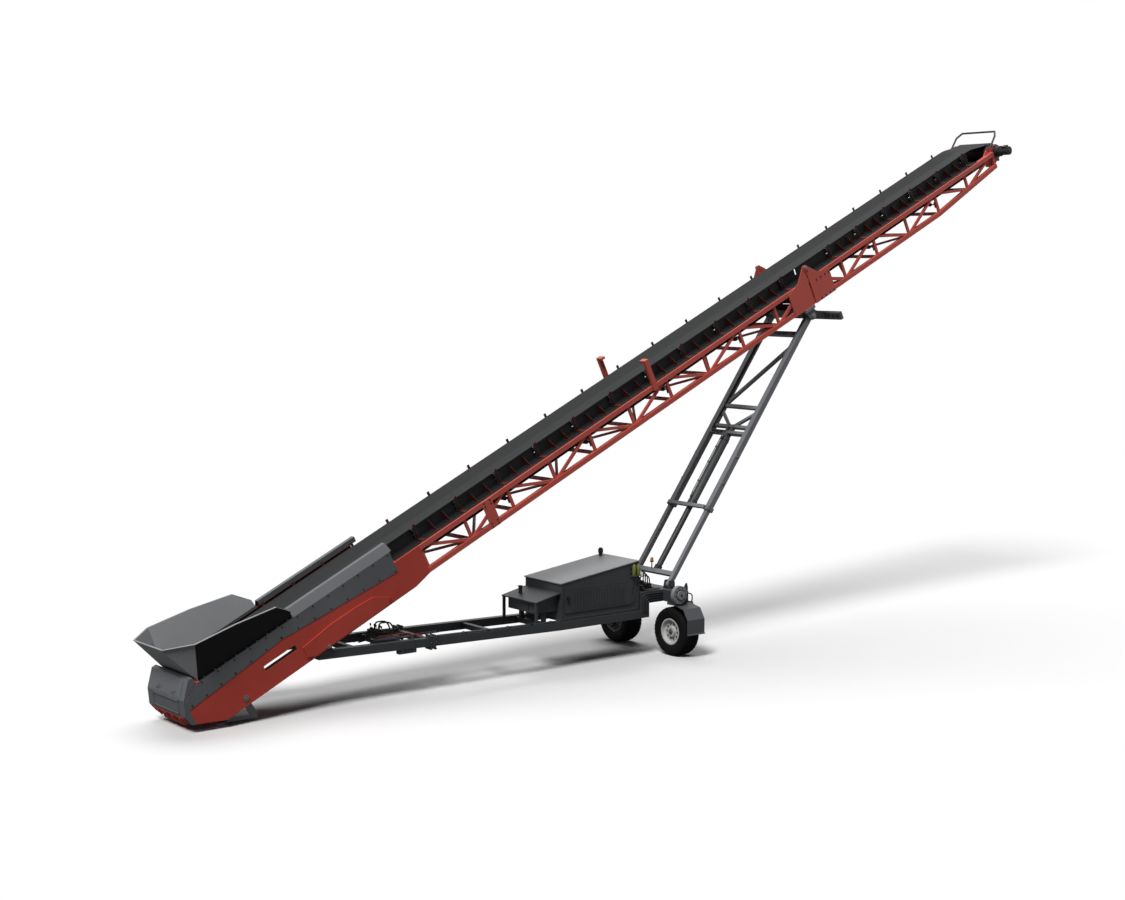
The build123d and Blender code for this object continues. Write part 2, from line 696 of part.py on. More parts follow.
head_in = BOOM_HALF_WIDTH + FOLD_PLATE + FOLD_PLATE_GAP
head_out = head_in + FOLD_PLATE
fold_pin = round_y(FOLD_RUN, FOLD_PIN_Z, FOLD_PIN_R, (BOOM_HALF_WIDTH, head_out + 20))
save("fold_plates_main", [on_boom(piece) for piece in pair(join([main_plate, fold_pin]))])
fold_head = [(2 * FOLD_RUN - along, height) for along, height in fold_main]
head_plate = slab(fold_head, head_in, head_out)
head_plate = head_plate - round_y(FOLD_RUN, FOLD_PIN_Z, FOLD_PIN_R + RUNNING_FIT, (head_in - 5, head_out + 5))
pad_run = (FOLD_RUN + FOLD_PLATE_CREST, FOLD_RUN + FOLD_PAD_REACH)
head_pad = block(pad_run, (BOOM_HALF_WIDTH, head_in), (BOTTOM_CHORD_Z + 10, TOP_CHORD_Z - 70))
save("fold_plates_head", [on_boom(piece) for piece in pair(join([head_plate, head_pad]))])

# Rest posts for the folded head
rest_rise = (FOLD_RUN - REST_RUN) * math.sin(math.radians(FOLD_BACK_ANGLE))
rest_height = 2 * FOLD_PIN_Z - TOP_CHORD_Z - SHIELD_SHEET + rest_rise - REST_CLEAR
rest_wide = (REST_RUN - 60, REST_RUN + 60)
rest_slim = (REST_RUN - 55, REST_RUN + 55)
rest_out = BOOM_HALF_WIDTH + 80
rest_post = join(
    [
        block(rest_wide, (BOOM_HALF_WIDTH, rest_out), (TOP_CHORD_Z - CHORD, TOP_CHORD_Z)),
        block(rest_slim, (BOOM_HALF_WIDTH + 12, rest_out), (TOP_CHORD_Z - 10, rest_height)),
        block(rest_slim, (CHORD_IN + 10, rest_out), (rest_height - 50, rest_height)),
    ]
)
save("rest_posts", [on_boom(piece) for piece in pair(rest_post)])

# Leg brackets under the boom and the light bar they carry
bracket_run = (LEG_HEAD_RUN - 200, LEG_HEAD_RUN + 120)
bracket_half = BOOM_HALF_WIDTH + 40
bracket_beam = block(bracket_run, (-bracket_half, bracket_half), (BOTTOM_CHORD_Z - 60, BOTTOM_CHORD_Z))
ear_outline = [
    (LEG_HEAD_RUN - 180, BOTTOM_CHORD_Z - 55),
    (LEG_HEAD_RUN + 120, BOTTOM_CHORD_Z - 55),
    (LEG_HEAD_RUN + 90, LEG_HEAD_Z - 60),
    (LEG_HEAD_RUN + 20, LEG_HEAD_Z - 95),
    (LEG_HEAD_RUN - 60, LEG_HEAD_Z - 80),
]
LIGHT_RUN = LEG_HEAD_RUN + LIGHT_AHEAD
light_low = LEG_HEAD_Z - LIGHT_DROP - LIGHT_TALL / 2
light_high = light_low + LIGHT_TALL
arm_outline = [
    (LEG_HEAD_RUN - 180, BOTTOM_CHORD_Z - 55),
    (LEG_HEAD_RUN + 120, BOTTOM_CHORD_Z - 55),
    (LIGHT_RUN, light_high - 20),
    (LIGHT_RUN, light_low + 30),
    (LEG_HEAD_RUN + 20, LEG_HEAD_Z - 95),
    (LEG_HEAD_RUN - 60, LEG_HEAD_Z - 80),
]
LEG_SLOT_IN = LEG_Y - LEG_OUTER / 2 - 35
LEG_SLOT_OUT = LEG_Y + LEG_OUTER / 2 + 35
brackets = [
    slab(ear_outline, LEG_SLOT_OUT, LEG_SLOT_OUT + 25),
    slab(arm_outline, LEG_SLOT_IN - 25, LEG_SLOT_IN),
    round_y(LEG_HEAD_RUN, LEG_HEAD_Z, 62, (LEG_SLOT_OUT + 20, LEG_SLOT_OUT + 55)),
]
save("leg_brackets", on_boom(join([bracket_beam] + brackets + [mirrored(piece) for piece in brackets])))
light_face = LIGHT_RUN + LIGHT_DEEP
light_bar = [block((LIGHT_RUN, light_face), (-LIGHT_HALF, LIGHT_HALF), (light_low, light_high))]
lamp_run = (light_face - 5, light_face + LAMPS["deep"])
for spot in LAMPS["spots"]:
    for y in (spot - LIGHT_HALF, LIGHT_HALF - spot):
        light_bar.append(round_x(y, (light_low + light_high) / 2, LAMPS["r"], lamp_run))
save("light_bar", on_boom(join(light_bar)))

# Head end: bearing plates, drive motor and hoop guard
bearing_outline = [
    (HEAD_END - 260, TOP_CHORD_Z),
    (HEAD_END - 260, 130),
    (HEAD_END - 40, 20),
    (HEAD_PULLEY_RUN + 150, 180),
    (HEAD_PULLEY_RUN + 170, 430),
    (HEAD_PULLEY_RUN + 60, 520),
    (HEAD_END - 100, 520),
]
save("head_bearing_plates", [on_boom(piece) for piece in pair(slab(bearing_outline, BEARING_IN, CHORD_IN))])
motor = join(
    [
        round_y(HEAD_PULLEY_RUN, PULLEY_Z, 130, (-CHORD_IN - 170, -CHORD_IN)),
        round_y(HEAD_PULLEY_RUN, PULLEY_Z, 95, (-CHORD_IN - 430, -CHORD_IN - 160)),
        block(
            (HEAD_PULLEY_RUN - 60, HEAD_PULLEY_RUN + 60),
            (-CHORD_IN - 380, -CHORD_IN - 250),
            (PULLEY_Z + 40, PULLEY_Z + 125),
        ),
    ]
)
save("head_motor", on_boom(motor))

HOOP_R = 24.0
hoop_points = [
    (HEAD_PULLEY_RUN - 130, BEARING_IN + 15, 505),
    (HEAD_PULLEY_RUN + 150, BEARING_IN + 5, 690),
    (HEAD_PULLEY_RUN + 300, BEARING_IN - 90, 750),
]


def rod_between(start, end, radius):
    a = Vector(*start)
    b = Vector(*end)
    return Solid.make_cylinder(radius, (b - a).length, Plane(origin=a, z_dir=(b - a).normalized()))


hoop_half = [rod_between(start, end, HOOP_R) for start, end in zip(hoop_points, hoop_points[1:])]
hoop_balls = [Pos(*point) * Sphere(HOOP_R) for point in hoop_points[1:]]
far_tip = (hoop_points[2][0], -hoop_points[2][1], hoop_points[2][2])
hoop_cross = rod_between(hoop_points[2], far_tip, HOOP_R)
hoop_sides = hoop_half + hoop_balls
hoop_whole = join(hoop_sides + [mirrored(piece) for piece in hoop_sides] + [hoop_cross])
hoop_pad = block((HEAD_END - 100, HEAD_PULLEY_RUN - 80), (BEARING_IN, CHORD_IN), (520, 540))
hoop_trim = block((HEAD_END - 400, HEAD_PULLEY_RUN + 600), (-900, 900), (0, 520))
save("head_guard", on_boom(join([hoop_whole - hoop_trim] + pair(hoop_pad))))

# Tail yoke and the ground base it turns on
yoke_low = BASE_PLATE + PIVOT_GAP
cheek_outline = [
    (-310, yoke_low),
    (320, yoke_low),
    (320, 150),
    (85, YOKE_PIN_Z + 40),
    (40, YOKE_PIN_Z + 85),
    (-40, YOKE_PIN_Z + 85),
    (-85, YOKE_PIN_Z + 40),
    (-310, 150),
]
cheek_hole = [(-170, 140), (170, 140), (0, 400)]
cheek = slab(cheek_outline, YOKE_Y - YOKE_PLATE / 2, YOKE_Y + YOKE_PLATE / 2)
cheek = cheek - slab(cheek_hole, YOKE_Y - YOKE_PLATE, YOKE_Y + YOKE_PLATE)
cheek = cheek - round_y(0, YOKE_PIN_Z, YOKE_PIN_R + RUNNING_FIT, (YOKE_Y - YOKE_PLATE, YOKE_Y + YOKE_PLATE))
yoke_floor = block((-310, 320), (-YOKE_Y, YOKE_Y), (yoke_low, yoke_low + 40))
yoke_hub = round_z(0, 0, PIVOT_R + 60, (yoke_low, yoke_low + 120))
yoke_bore = round_z(0, 0, PIVOT_R + RUNNING_FIT, (0, 400))
save("tail_yoke", join(pair(cheek) + [yoke_floor, yoke_hub]) - yoke_bore)

base_disc = round_z(0, 0, BASE_R, (0, BASE_PLATE))
base_pin = round_z(0, 0, PIVOT_R, (BASE_PLATE - 1, yoke_low + 130))
base = join([base_disc, base_pin])
for index in range(ANCHOR_COUNT):
    turn = math.radians(360 / ANCHOR_COUNT * index)
    x = ANCHOR_PCD / 2 * math.cos(turn)
    y = ANCHOR_PCD / 2 * math.sin(turn)
    base = base - round_z(x, y, ANCHOR_R, (-5, BASE_PLATE + 5))
save("pivot_base", base)

# Drawbar
beam_outline = [
    (BEAM_FRONT_X, BEAM_FRONT_TOP),
    (BEAM_LEVEL_X, BEAM_LEVEL_TOP),
    (BEAM_END_X, BEAM_LEVEL_TOP),
    (BEAM_END_X, BEAM_LEVEL_TOP - BEAM_DEPTH),
    (BEAM_LEVEL_X, BEAM_LEVEL_TOP - BEAM_DEPTH),
    (BEAM_FRONT_X, BEAM_FRONT_TOP - BEAM_DEPTH),
]
axle_x0 = AXLE_X - AXLE_WIDTH / 2
axle_x1 = AXLE_X + AXLE_WIDTH / 2
lug_outline = [
    (HINGE_X - 130, BEAM_FRONT_TOP - 30),
    (HINGE_X + 160, BEAM_FRONT_TOP - 30),
    (HINGE_X + 75, HINGE_Z + 50),
    (HINGE_X + 30, HINGE_Z + HINGE_EYE_R),
    (HINGE_X - 30, HINGE_Z + HINGE_EYE_R),
    (HINGE_X - 75, HINGE_Z + 50),
]
lug_y = (DRAWBAR_Y - 30, DRAWBAR_Y + 45)
lug = slab(lug_outline, lug_y[0], lug_y[1])
lug_hole = round_y(HINGE_X, HINGE_Z, HINGE_PIN_R + RUNNING_FIT, (lug_y[0] - 20, lug_y[1] + 20))
beam = join(
    [
        slab(beam_outline, BEAM_IN, BEAM_OUT),
        lug,
        block((PACK_X1 + 20, BEAM_END_X), (BEAM_IN, BEAM_OUT), (BEAM_LEVEL_TOP - BEAM_DEPTH, AXLE_TOP)),
        block((PACK_X1 + 20, axle_x0), (BEAM_IN, BEAM_OUT), (AXLE_BOTTOM, AXLE_TOP)),
    ]
)
beam = beam - lug_hole
save("drawbar_beams", pair(beam))


def beam_top(x):
    share = (x - BEAM_FRONT_X) / (BEAM_LEVEL_X - BEAM_FRONT_X)
    return BEAM_FRONT_TOP + min(share, 1.0) * (BEAM_LEVEL_TOP - BEAM_FRONT_TOP)


crosses = []
for x in DRAWBAR_CROSSES:
    top = beam_top(x) - CROSS_DROP
    cross_x = (x - CROSS_WIDTH / 2, x + CROSS_WIDTH / 2)
    crosses.append(block(cross_x, (-BEAM_IN, BEAM_IN), (top - CROSS_DEPTH, top)))
save("drawbar_cross_members", crosses)

axle = block((axle_x0, axle_x1), (-AXLE_HALF, AXLE_HALF), (AXLE_BOTTOM, AXLE_TOP))
for y in (-KINGPIN_Y, KINGPIN_Y):
    axle = axle - round_z(AXLE_X, y, KINGPIN_R + RUNNING_FIT, (AXLE_BOTTOM - 5, AXLE_TOP + 5))
save("axle_beam", axle)

# Leg pedestals with their pins
pedestal_outline = [
    (axle_x1 - 170, AXLE_TOP),
    (axle_x1, AXLE_TOP),
    (LEG_FOOT_X + 95, LEG_FOOT_Z - 55),
    (LEG_FOOT_X + 95, LEG_FOOT_Z + 60),
    (LEG_FOOT_X + 40, LEG_FOOT_Z + 100),
    (LEG_FOOT_X - 60, LEG_FOOT_Z + 100),
]
pedestals = []
for side in (-1, 1):
    planes = (LEG_Y - LEG_INNER / 2 - 35, LEG_Y + LEG_INNER / 2 + 10)
    solids = [slab(pedestal_outline, side * y, side * (y + 25)) for y in planes]
    ends = sorted((side * planes[0], side * (planes[1] + 45)))
    solids.append(round_y(LEG_FOOT_X, LEG_FOOT_Z, LEG_PIN_R, ends))
    pedestals.append(join(solids))
save("leg_pedestals", pedestals)

# Drive gear cases on the ends of the axle
case_x = GEAR_CASE["x"]
case_z = GEAR_CASE["z"]
case_face = AXLE_HALF + GEAR_CASE["deep"]
case = join(
    [
        round_y(case_x, case_z, GEAR_CASE["r"], (AXLE_HALF, case_face)),
        round_y(case_x, case_z, GEAR_CASE["cap_r"], (case_face - 5, case_face + GEAR_CASE["cap_deep"])),
    ]
)
save("drive_gear_cases", pair(case))

# Power pack
floor_top = BEAM_LEVEL_TOP + PACK_FLOOR
save("pack_floor", block((PACK_X0, PACK_X1), (-PACK_HALF, PACK_HALF), (BEAM_LEVEL_TOP, floor_top)))
pack_outline = [
    (PACK_X0, floor_top),
    (PACK_X1, floor_top),
    (PACK_X1, PACK_HIGH_TOP),
    (PACK_BREAK_X, PACK_HIGH_TOP),
    (PACK_X0, PACK_LOW_TOP),
]
pack_hollow = [
    (PACK_X0 + PACK_WALL, floor_top - 5),
    (PACK_X1 - PACK_WALL, floor_top - 5),
    (PACK_X1 - PACK_WALL, PACK_HIGH_TOP - PACK_WALL),
    (PACK_BREAK_X, PACK_HIGH_TOP - PACK_WALL),
    (PACK_X0 + PACK_WALL, PACK_LOW_TOP - PACK_WALL),
]
pack_in = PACK_HALF - PACK_WALL
housing = slab(pack_outline, -PACK_HALF, PACK_HALF) - slab(pack_hollow, -pack_in, pack_in)
lap = DOOR["lap"]
doorway = block(
    (DOOR["x0"] + lap, DOOR["x1"] - lap),
    (-PACK_HALF - 5, -pack_in + 5),
    (DOOR["z0"] + lap, DOOR["z1"] - lap),
)
door_out = PACK_HALF + DOOR["gap"] + DOOR["thick"]
knuckle_x = DOOR["x1"] + 22
knuckle_y = -(PACK_HALF + 14)
knuckle_z = [DOOR["z0"] + 40, DOOR["z1"] - 160]
knuckles = [round_z(knuckle_x, knuckle_y, 14, (z + 62, z + 120)) for z in knuckle_z]
strap_x = (knuckle_x - 8, knuckle_x + 8)
knuckles += [block(strap_x, (knuckle_y, -pack_in), (z + 62, z + 120)) for z in knuckle_z]
save("pack_housing", join([housing - doorway] + knuckles))
door = [block((DOOR["x0"], DOOR["x1"]), (-door_out, -door_out + DOOR["thick"]), (DOOR["z0"], DOOR["z1"]))]
for index in range(LOUVRES["count"]):
    x = LOUVRES["first"] + LOUVRES["pitch"] * index
    slat_y = (-door_out - LOUVRES["proud"], -door_out + 4)
    door.append(block((x, x + LOUVRES["width"]), slat_y, LOUVRE_Z))
for z in knuckle_z:
    door.append(round_z(knuckle_x, knuckle_y, 14, (z, z + 56)))
    door.append(block((DOOR["x1"] - 5, knuckle_x), (-door_out, knuckle_y), (z, z + 56)))
save("pack_door", join(door))
HOOD_SHEET = 18.0
hood_outline = [
    (PACK_X0 - 30, PACK_LOW_TOP - 4),
    (PACK_X0, PACK_LOW_TOP),
    (PACK_BREAK_X, PACK_HIGH_TOP),
    (PACK_X1, PACK_HIGH_TOP),
    (PACK_X1 + 10, PACK_HIGH_TOP),
    (PACK_X1 + 10, PACK_HIGH_TOP + HOOD_SHEET),
    (PACK_BREAK_X, PACK_HIGH_TOP + HOOD_SHEET),
    (PACK_X0, PACK_LOW_TOP + HOOD_SHEET),
    (PACK_X0 - 30, PACK_LOW_TOP + HOOD_SHEET - 4),
]
save("pack_hood", slab(hood_outline, -PACK_HALF - 20, PACK_HALF + 20))
engine_x = (ENGINE["x0"], ENGINE["x1"])
engine_y = (-ENGINE["half"], ENGINE["half"])
save("engine_block", block(engine_x, engine_y, (floor_top, floor_top + ENGINE["tall"])))


def hood_top(x):
    share = (x - PACK_X0) / (PACK_BREAK_X - PACK_X0)
    return PACK_LOW_TOP + HOOD_SHEET + min(share, 1.0) * (PACK_HIGH_TOP - PACK_LOW_TOP)


stack_foot = hood_top(STACK["x"] - STACK["r"]) - 5
stack_tip = PACK_HIGH_TOP + STACK["high"]
stack = join(
    [
        round_z(STACK["x"], STACK["y"], STACK["r"], (stack_foot, stack_tip)),
        round_z(STACK["x"], STACK["y"], STACK["cap_r"], (PACK_HIGH_TOP + STACK["low"], stack_tip - 30)),
    ]
)
stack_cut = slab(
    [
        (PACK_X0, PACK_LOW_TOP - 200),
        (PACK_X0, hood_top(PACK_X0)),
        (PACK_BREAK_X, hood_top(PACK_BREAK_X)),
        (PACK_X1, hood_top(PACK_X1)),
        (PACK_X1, PACK_LOW_TOP - 200),
    ],
    -PACK_HALF,
    PACK_HALF,
)
save("exhaust_stack", stack - stack_cut)

# Front tank on its saddles, and the valve bank
lid_slope = (TANK_LID["high"] - TANK_LID["low"]) / (TANK["x1"] - TANK_LID["x0"])


def lid_top(x):
    return TANK_LID["low"] + (x - TANK_LID["x0"]) * lid_slope


def tank_side(x0, drop, low):
    top = [(x0, lid_top(x0) - drop), (TANK["x1"], TANK_LID["high"] - drop)]
    return [(TANK["x1"], low[1]), (x0, low[0])] + top


sheet = TANK_LID["sheet"]
lid_under = (lid_top(TANK_LID["x0"]) - sheet, TANK_LID["high"] - sheet)
filler_foot = lid_top(FILLER["x"])
tank = [
    slab(tank_side(TANK["x0"], sheet - 5, (TANK["z0"], TANK["z0"])), -TANK["half"], TANK["half"]),
    slab(tank_side(TANK_LID["x0"], 0, lid_under), -TANK_LID["half"], TANK_LID["half"]),
    round_z(FILLER["x"], FILLER["y"], FILLER["r"], (filler_foot - 20, filler_foot + FILLER["tall"])),
]
post_x = (TANK_POST["x"] - TANK_POST["half"], TANK_POST["x"] + TANK_POST["half"])
post_outline = [
    (post_x[0], beam_top(post_x[0])),
    (post_x[1], beam_top(post_x[1])),
    (post_x[1], lid_top(post_x[1]) - sheet + 5),
    (post_x[0], lid_top(post_x[0]) - sheet + 5),
]
tank = tank + pair(slab(post_outline, TANK_POST["y"] - TANK_POST["half"], TANK_POST["y"] + TANK_POST["half"]))
saddle_x = (TANK_SADDLE["x"] - TANK_SADDLE["half"], TANK_SADDLE["x"] + TANK_SADDLE["half"])
for y in (-TANK_SADDLE["y"], TANK_SADDLE["y"]):
    saddle_y = (y - TANK_SADDLE["half"], y + TANK_SADDLE["half"])
    tank.append(block(saddle_x, saddle_y, (beam_top(TANK_SADDLE["x"]) - CROSS_DROP, TANK["z0"] + 5)))
save("front_tank", join(tank))
bank_top = beam_top(VALVES["x"]) - CROSS_DROP
bank_x = (VALVES["x"] - VALVES["width"] / 2, VALVES["x"] + VALVES["width"] / 2)
bank_foot = (VALVES["x"] - CROSS_WIDTH / 2, VALVES["x"] + CROSS_WIDTH / 2)
bank_seat = bank_top + VALVES["foot"]
bank = [
    block(bank_foot, (-VALVES["foot_half"], VALVES["foot_half"]), (bank_top, bank_seat)),
    block(bank_x, (-VALVES["half"], VALVES["half"]), (bank_seat - 5, bank_top + VALVES["tall"])),
]
save("valve_bank", join(bank))


# Wheels, their carriers and mudguards
tyre_half = TYRE_WIDTH / 2
tyre_profile = [
    (-tyre_half + 30, RIM_R),
    (-tyre_half, RIM_R + 70),
    (-tyre_half, TYRE_R - 90),
    (-tyre_half + 35, TYRE_R - 18),
    (-tyre_half + 75, TYRE_R),
    (tyre_half - 75, TYRE_R),
    (tyre_half - 35, TYRE_R - 18),
    (tyre_half, TYRE_R - 90),
    (tyre_half, RIM_R + 70),
    (tyre_half - 30, RIM_R),
]
rim_profile = [
    (-tyre_half + 22, RIM_R),
    (-tyre_half + 22, RIM_R - 26),
    (-120, RIM_R - 40),
    (-120, 120),
    (-170, 105),
    (-170, 0),
    (-120, 0),
    (-120, STUB_R + RUNNING_FIT),
    (120, STUB_R + RUNNING_FIT),
    (120, 110),
    (-70, 120),
    (-70, RIM_R - 45),
    (tyre_half - 22, RIM_R - 26),
    (tyre_half - 22, RIM_R),
]


def turned(profile):
    outline = Wire.make_polygon([Vector(x, 0, r) for x, r in profile], close=True)
    return Solid.revolve(Face(outline), 360, Axis.X)


tyre = turned(tyre_profile)
rim = turned(rim_profile)
hub_z = TYRE_R
arm_x0 = CARRIER_REACH
arm_x1 = CARRIER_REACH + CARRIER_ARM
plate_low = CARRIER_TOP - 50
# The near wheel faces the tail and the far one the head: both swing the same way on a tie rod
for name, side in (("near", -1), ("far", 1)):
    at = Pos(AXLE_X, side * KINGPIN_Y, 0) * Rot(0, 0, 0 if side < 0 else 180)
    save("tyre_" + name, at * Pos(0, 0, hub_z) * tyre)
    save("rim_" + name, at * Pos(0, 0, hub_z) * rim)
    carrier = join(
        [
            block((-150, arm_x1), (-150, 150), (plate_low, CARRIER_TOP)),
            block((arm_x0, arm_x1), (-150, 150), (hub_z - 130, CARRIER_TOP)),
            round_x(0, hub_z, STUB_R, (-115, arm_x0 + 5)),
            round_x(0, hub_z, 110, (arm_x0 - 100, arm_x0 + 5)),
            round_z(0, 0, KINGPIN_R, (CARRIER_TOP - 5, AXLE_TOP + 40)),
        ]
    )
    save("wheel_carrier_" + name, at * carrier)
    flap_line = [(150, CARRIER_TOP), (470, 1080), (610, 860), (610, 560), (640, 545), (640, 533), (598, 533)]
    flap_back = [(598, 856), (462, 1068), (150, CARRIER_TOP - 12)]
    flap = run([(-y, z) for y, z in flap_line + flap_back], -MUDGUARD_BACK, MUDGUARD_FRONT)
    save("mudguard_" + name, at * flap)

# Leg frame, lower half: inner tubes, foot cross tube and ram rod
leg_in = LEG_Y - LEG_INNER / 2
leg_out = LEG_Y + LEG_INNER / 2
inner_half = LEG_INNER / 2
hollow_half = inner_half - 10
inner_hollow = block((250, LEG_INNER_LENGTH + 5), (leg_in + 10, leg_out - 10), (-hollow_half, hollow_half))
inner_tube = block((0, LEG_INNER_LENGTH), (leg_in, leg_out), (-inner_half, inner_half)) - inner_hollow
inner_eye = round_y(0, 0, LEG_EYE_R, (leg_in, leg_out))
inner_leg = join([inner_tube, inner_eye]) - round_y(0, 0, LEG_PIN_R + RUNNING_FIT, (leg_in - 5, leg_out + 5))
foot_cross = block((200, 300), (-leg_in, leg_in), (-50, 50))
save("leg_inner_frame", on_leg(join(pair(inner_leg) + [foot_cross])))
ram_rod = join(
    [
        block((300, 390), (-60, 60), (-60, 60)),
        round_x(0, 0, RAM_ROD_R, (385, RAM_ROD_END)),
        round_x(0, 0, RAM_BORE_R - 8, (RAM_ROD_END - 80, RAM_ROD_END)),
    ]
)
save("cylinder_rod", on_leg(ram_rod))

# Leg frame, upper half: outer tubes, cross bars, diagonals and ram barrel
outer_half = LEG_OUTER / 2
outer_in = LEG_Y - outer_half
outer_out = LEG_Y + outer_half
solid_from = LEG_LENGTH - 260
hollow = block(
    (LEG_OUTER_START - 5, solid_from),
    (outer_in + LEG_WALL, outer_out - LEG_WALL),
    (-outer_half + LEG_WALL, outer_half - LEG_WALL),
)
outer_leg = join(
    [
        block((LEG_OUTER_START, LEG_LENGTH), (outer_in, outer_out), (-outer_half, outer_half)) - hollow,
        round_y(LEG_LENGTH, 0, LEG_HEAD_R, (outer_in, outer_out)),
        round_y(LEG_LENGTH, 0, 70, (outer_in - 25, outer_out + 25)),
    ]
)
MIDDLE_BAR = RAM_END + 90
UPPER_BAR = MIDDLE_BAR + UPPER_BAR_STEP
TOP_BAR = LEG_LENGTH - TOP_BAR_BACK
lower_run = (LEG_OUTER_START, LEG_OUTER_START + 80)
lower_top = RAM_ROD_R + 85
head_plate_run = (MIDDLE_BAR, MIDDLE_BAR + 240)
leg_bars = [
    block(lower_run, (-outer_in, outer_in), (RAM_ROD_R + 20, lower_top)),
    block(lower_run, (-outer_in - 60, -outer_in), (outer_half - 8, lower_top)),
    block(lower_run, (outer_in, outer_in + 60), (outer_half - 8, lower_top)),
    block((MIDDLE_BAR, MIDDLE_BAR + 70), (-outer_in, outer_in), (-65, 65)),
    block((MIDDLE_BAR + 170, MIDDLE_BAR + 240), (-outer_in, outer_in), (-50, 50)),
    block(head_plate_run, (55, 80), (-60, 60)),
    block(head_plate_run, (-80, -55), (-60, 60)),
    block((UPPER_BAR, UPPER_BAR + 80), (-outer_in, outer_in), (-40, 40)),
    block((TOP_BAR, TOP_BAR + 100), (-outer_in, outer_in), (-50, 50)),
]
brace_trim = block((LEG_OUTER_START, LEG_LENGTH), (-outer_in - 6, outer_in + 6), (-200, 200))
leg_braces = [
    flat_bar((UPPER_BAR + 90, outer_in), (TOP_BAR - 330, -outer_in), 90, -30, 30),
    flat_bar((MIDDLE_BAR + 210, 65), (UPPER_BAR - 110, outer_in), 70, -30, 30),
    flat_bar((MIDDLE_BAR + 210, -65), (UPPER_BAR - 110, -outer_in), 70, -30, 30),
]
leg_bars = leg_bars + [brace & brace_trim for brace in leg_braces]
save("leg_outer_frame", on_leg(join(pair(outer_leg) + leg_bars)))
barrel = round_x(0, 0, RAM_BARREL_R, (RAM_MOUTH, RAM_END))
barrel = barrel - round_x(0, 0, RAM_BORE_R, (RAM_MOUTH + 80, RAM_END - 80))
barrel = barrel - round_x(0, 0, RAM_ROD_R + RUNNING_FIT, (RAM_MOUTH - 5, RAM_MOUTH + 100))
barrel_lug = block((RAM_END - 10, MIDDLE_BAR), (-60, 60), (-60, 60))
save("cylinder_barrel", on_leg(join([barrel, barrel_lug])))
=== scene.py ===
from math import atan2, cos, hypot, pi, radians, sin

import bmesh
import bpy
from mathutils import Matrix, Vector


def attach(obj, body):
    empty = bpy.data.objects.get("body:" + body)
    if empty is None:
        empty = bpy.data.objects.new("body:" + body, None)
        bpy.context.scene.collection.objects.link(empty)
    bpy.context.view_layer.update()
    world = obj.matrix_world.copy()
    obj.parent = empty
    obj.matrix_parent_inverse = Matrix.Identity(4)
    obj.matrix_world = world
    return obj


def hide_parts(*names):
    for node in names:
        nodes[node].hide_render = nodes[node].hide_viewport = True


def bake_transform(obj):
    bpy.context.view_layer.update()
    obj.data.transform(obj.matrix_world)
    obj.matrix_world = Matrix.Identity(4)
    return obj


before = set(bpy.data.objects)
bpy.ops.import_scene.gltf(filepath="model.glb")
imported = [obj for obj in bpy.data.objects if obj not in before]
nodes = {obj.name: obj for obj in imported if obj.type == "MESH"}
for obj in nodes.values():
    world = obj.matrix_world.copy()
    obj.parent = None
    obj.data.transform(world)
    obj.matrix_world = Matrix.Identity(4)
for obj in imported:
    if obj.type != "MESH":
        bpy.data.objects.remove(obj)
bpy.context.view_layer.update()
scene = bpy.context.scene
print("frame loaded:", len(nodes), "nodes")

# boom pieces are drawn along the boom and leg pieces along the leg, in metres
boomLine = {"angle": 25.7, "datumX": -1.4, "half": 0.73}
boomFrame = Matrix.Translation((boomLine["datumX"], 0, 0)) @ Matrix.Rotation(-radians(boomLine["angle"]), 4, "Y")
legLine = {"foot": (10.43, 0, 1.485), "headRun": 17.6, "headDrop": -0.42}
legReach = boomFrame @ Vector((legLine["headRun"], 0, legLine["headDrop"])) - Vector(legLine["foot"])
legFrame = Matrix.Translation(legLine["foot"]) @ Matrix.Rotation(-atan2(legReach.z, legReach.x), 4, "Y")

camera = {"place": (-16.3, -30.93, 8.47), "yaw": 38.1, "down": 5.72, "lens": 60.03, "sensor": 36.0, "far": 500}
camData = bpy.data.cameras.new("photoCamera")
camData.lens = camera["lens"]
camData.sensor_fit = "HORIZONTAL"
camData.sensor_width = camera["sensor"]
camData.clip_end = camera["far"]
camObj = bpy.data.objects.new("photoCamera", camData)
camObj.location = camera["place"]
camObj.rotation_euler = (radians(90 - camera["down"]), 0, radians(-camera["yaw"]))
scene.collection.objects.link(camObj)
scene.camera = camObj
scene.view_settings.view_transform = "Standard"

light = {"suns": {"keySun": ((-0.67, -0.38, 1.0), 2.28, 20), "backSun": ((0.2, 0.36, 1.0), 1.3, 42)},
         "sky": 0.05, "floorShown": 1.0, "floorBounce": 0.15, "floorRadius": 260}
for name, (fromWhere, strength, spread) in light["suns"].items():
    sunData = bpy.data.lights.new(name, "SUN")
    sunData.energy = strength
    sunData.angle = radians(spread)
    sunObj = bpy.data.objects.new(name, sunData)
    sunObj.rotation_euler = Vector(fromWhere).to_track_quat("Z", "Y").to_euler()
    scene.collection.objects.link(sunObj)


def feed(tree, node, given):
    # an input gets a link where a socket is given, and a value otherwise
    for key, value in given.items():
        if isinstance(value, bpy.types.NodeSocket):
            tree.links.new(value, node.inputs[key])
        else:
            node.inputs[key].default_value = value


def addNode(tree, kind, given=None, **settings):
    made = tree.nodes.new(kind)
    for key, value in settings.items():
        setattr(made, key, value)
    feed(tree, made, given or {})
    return made


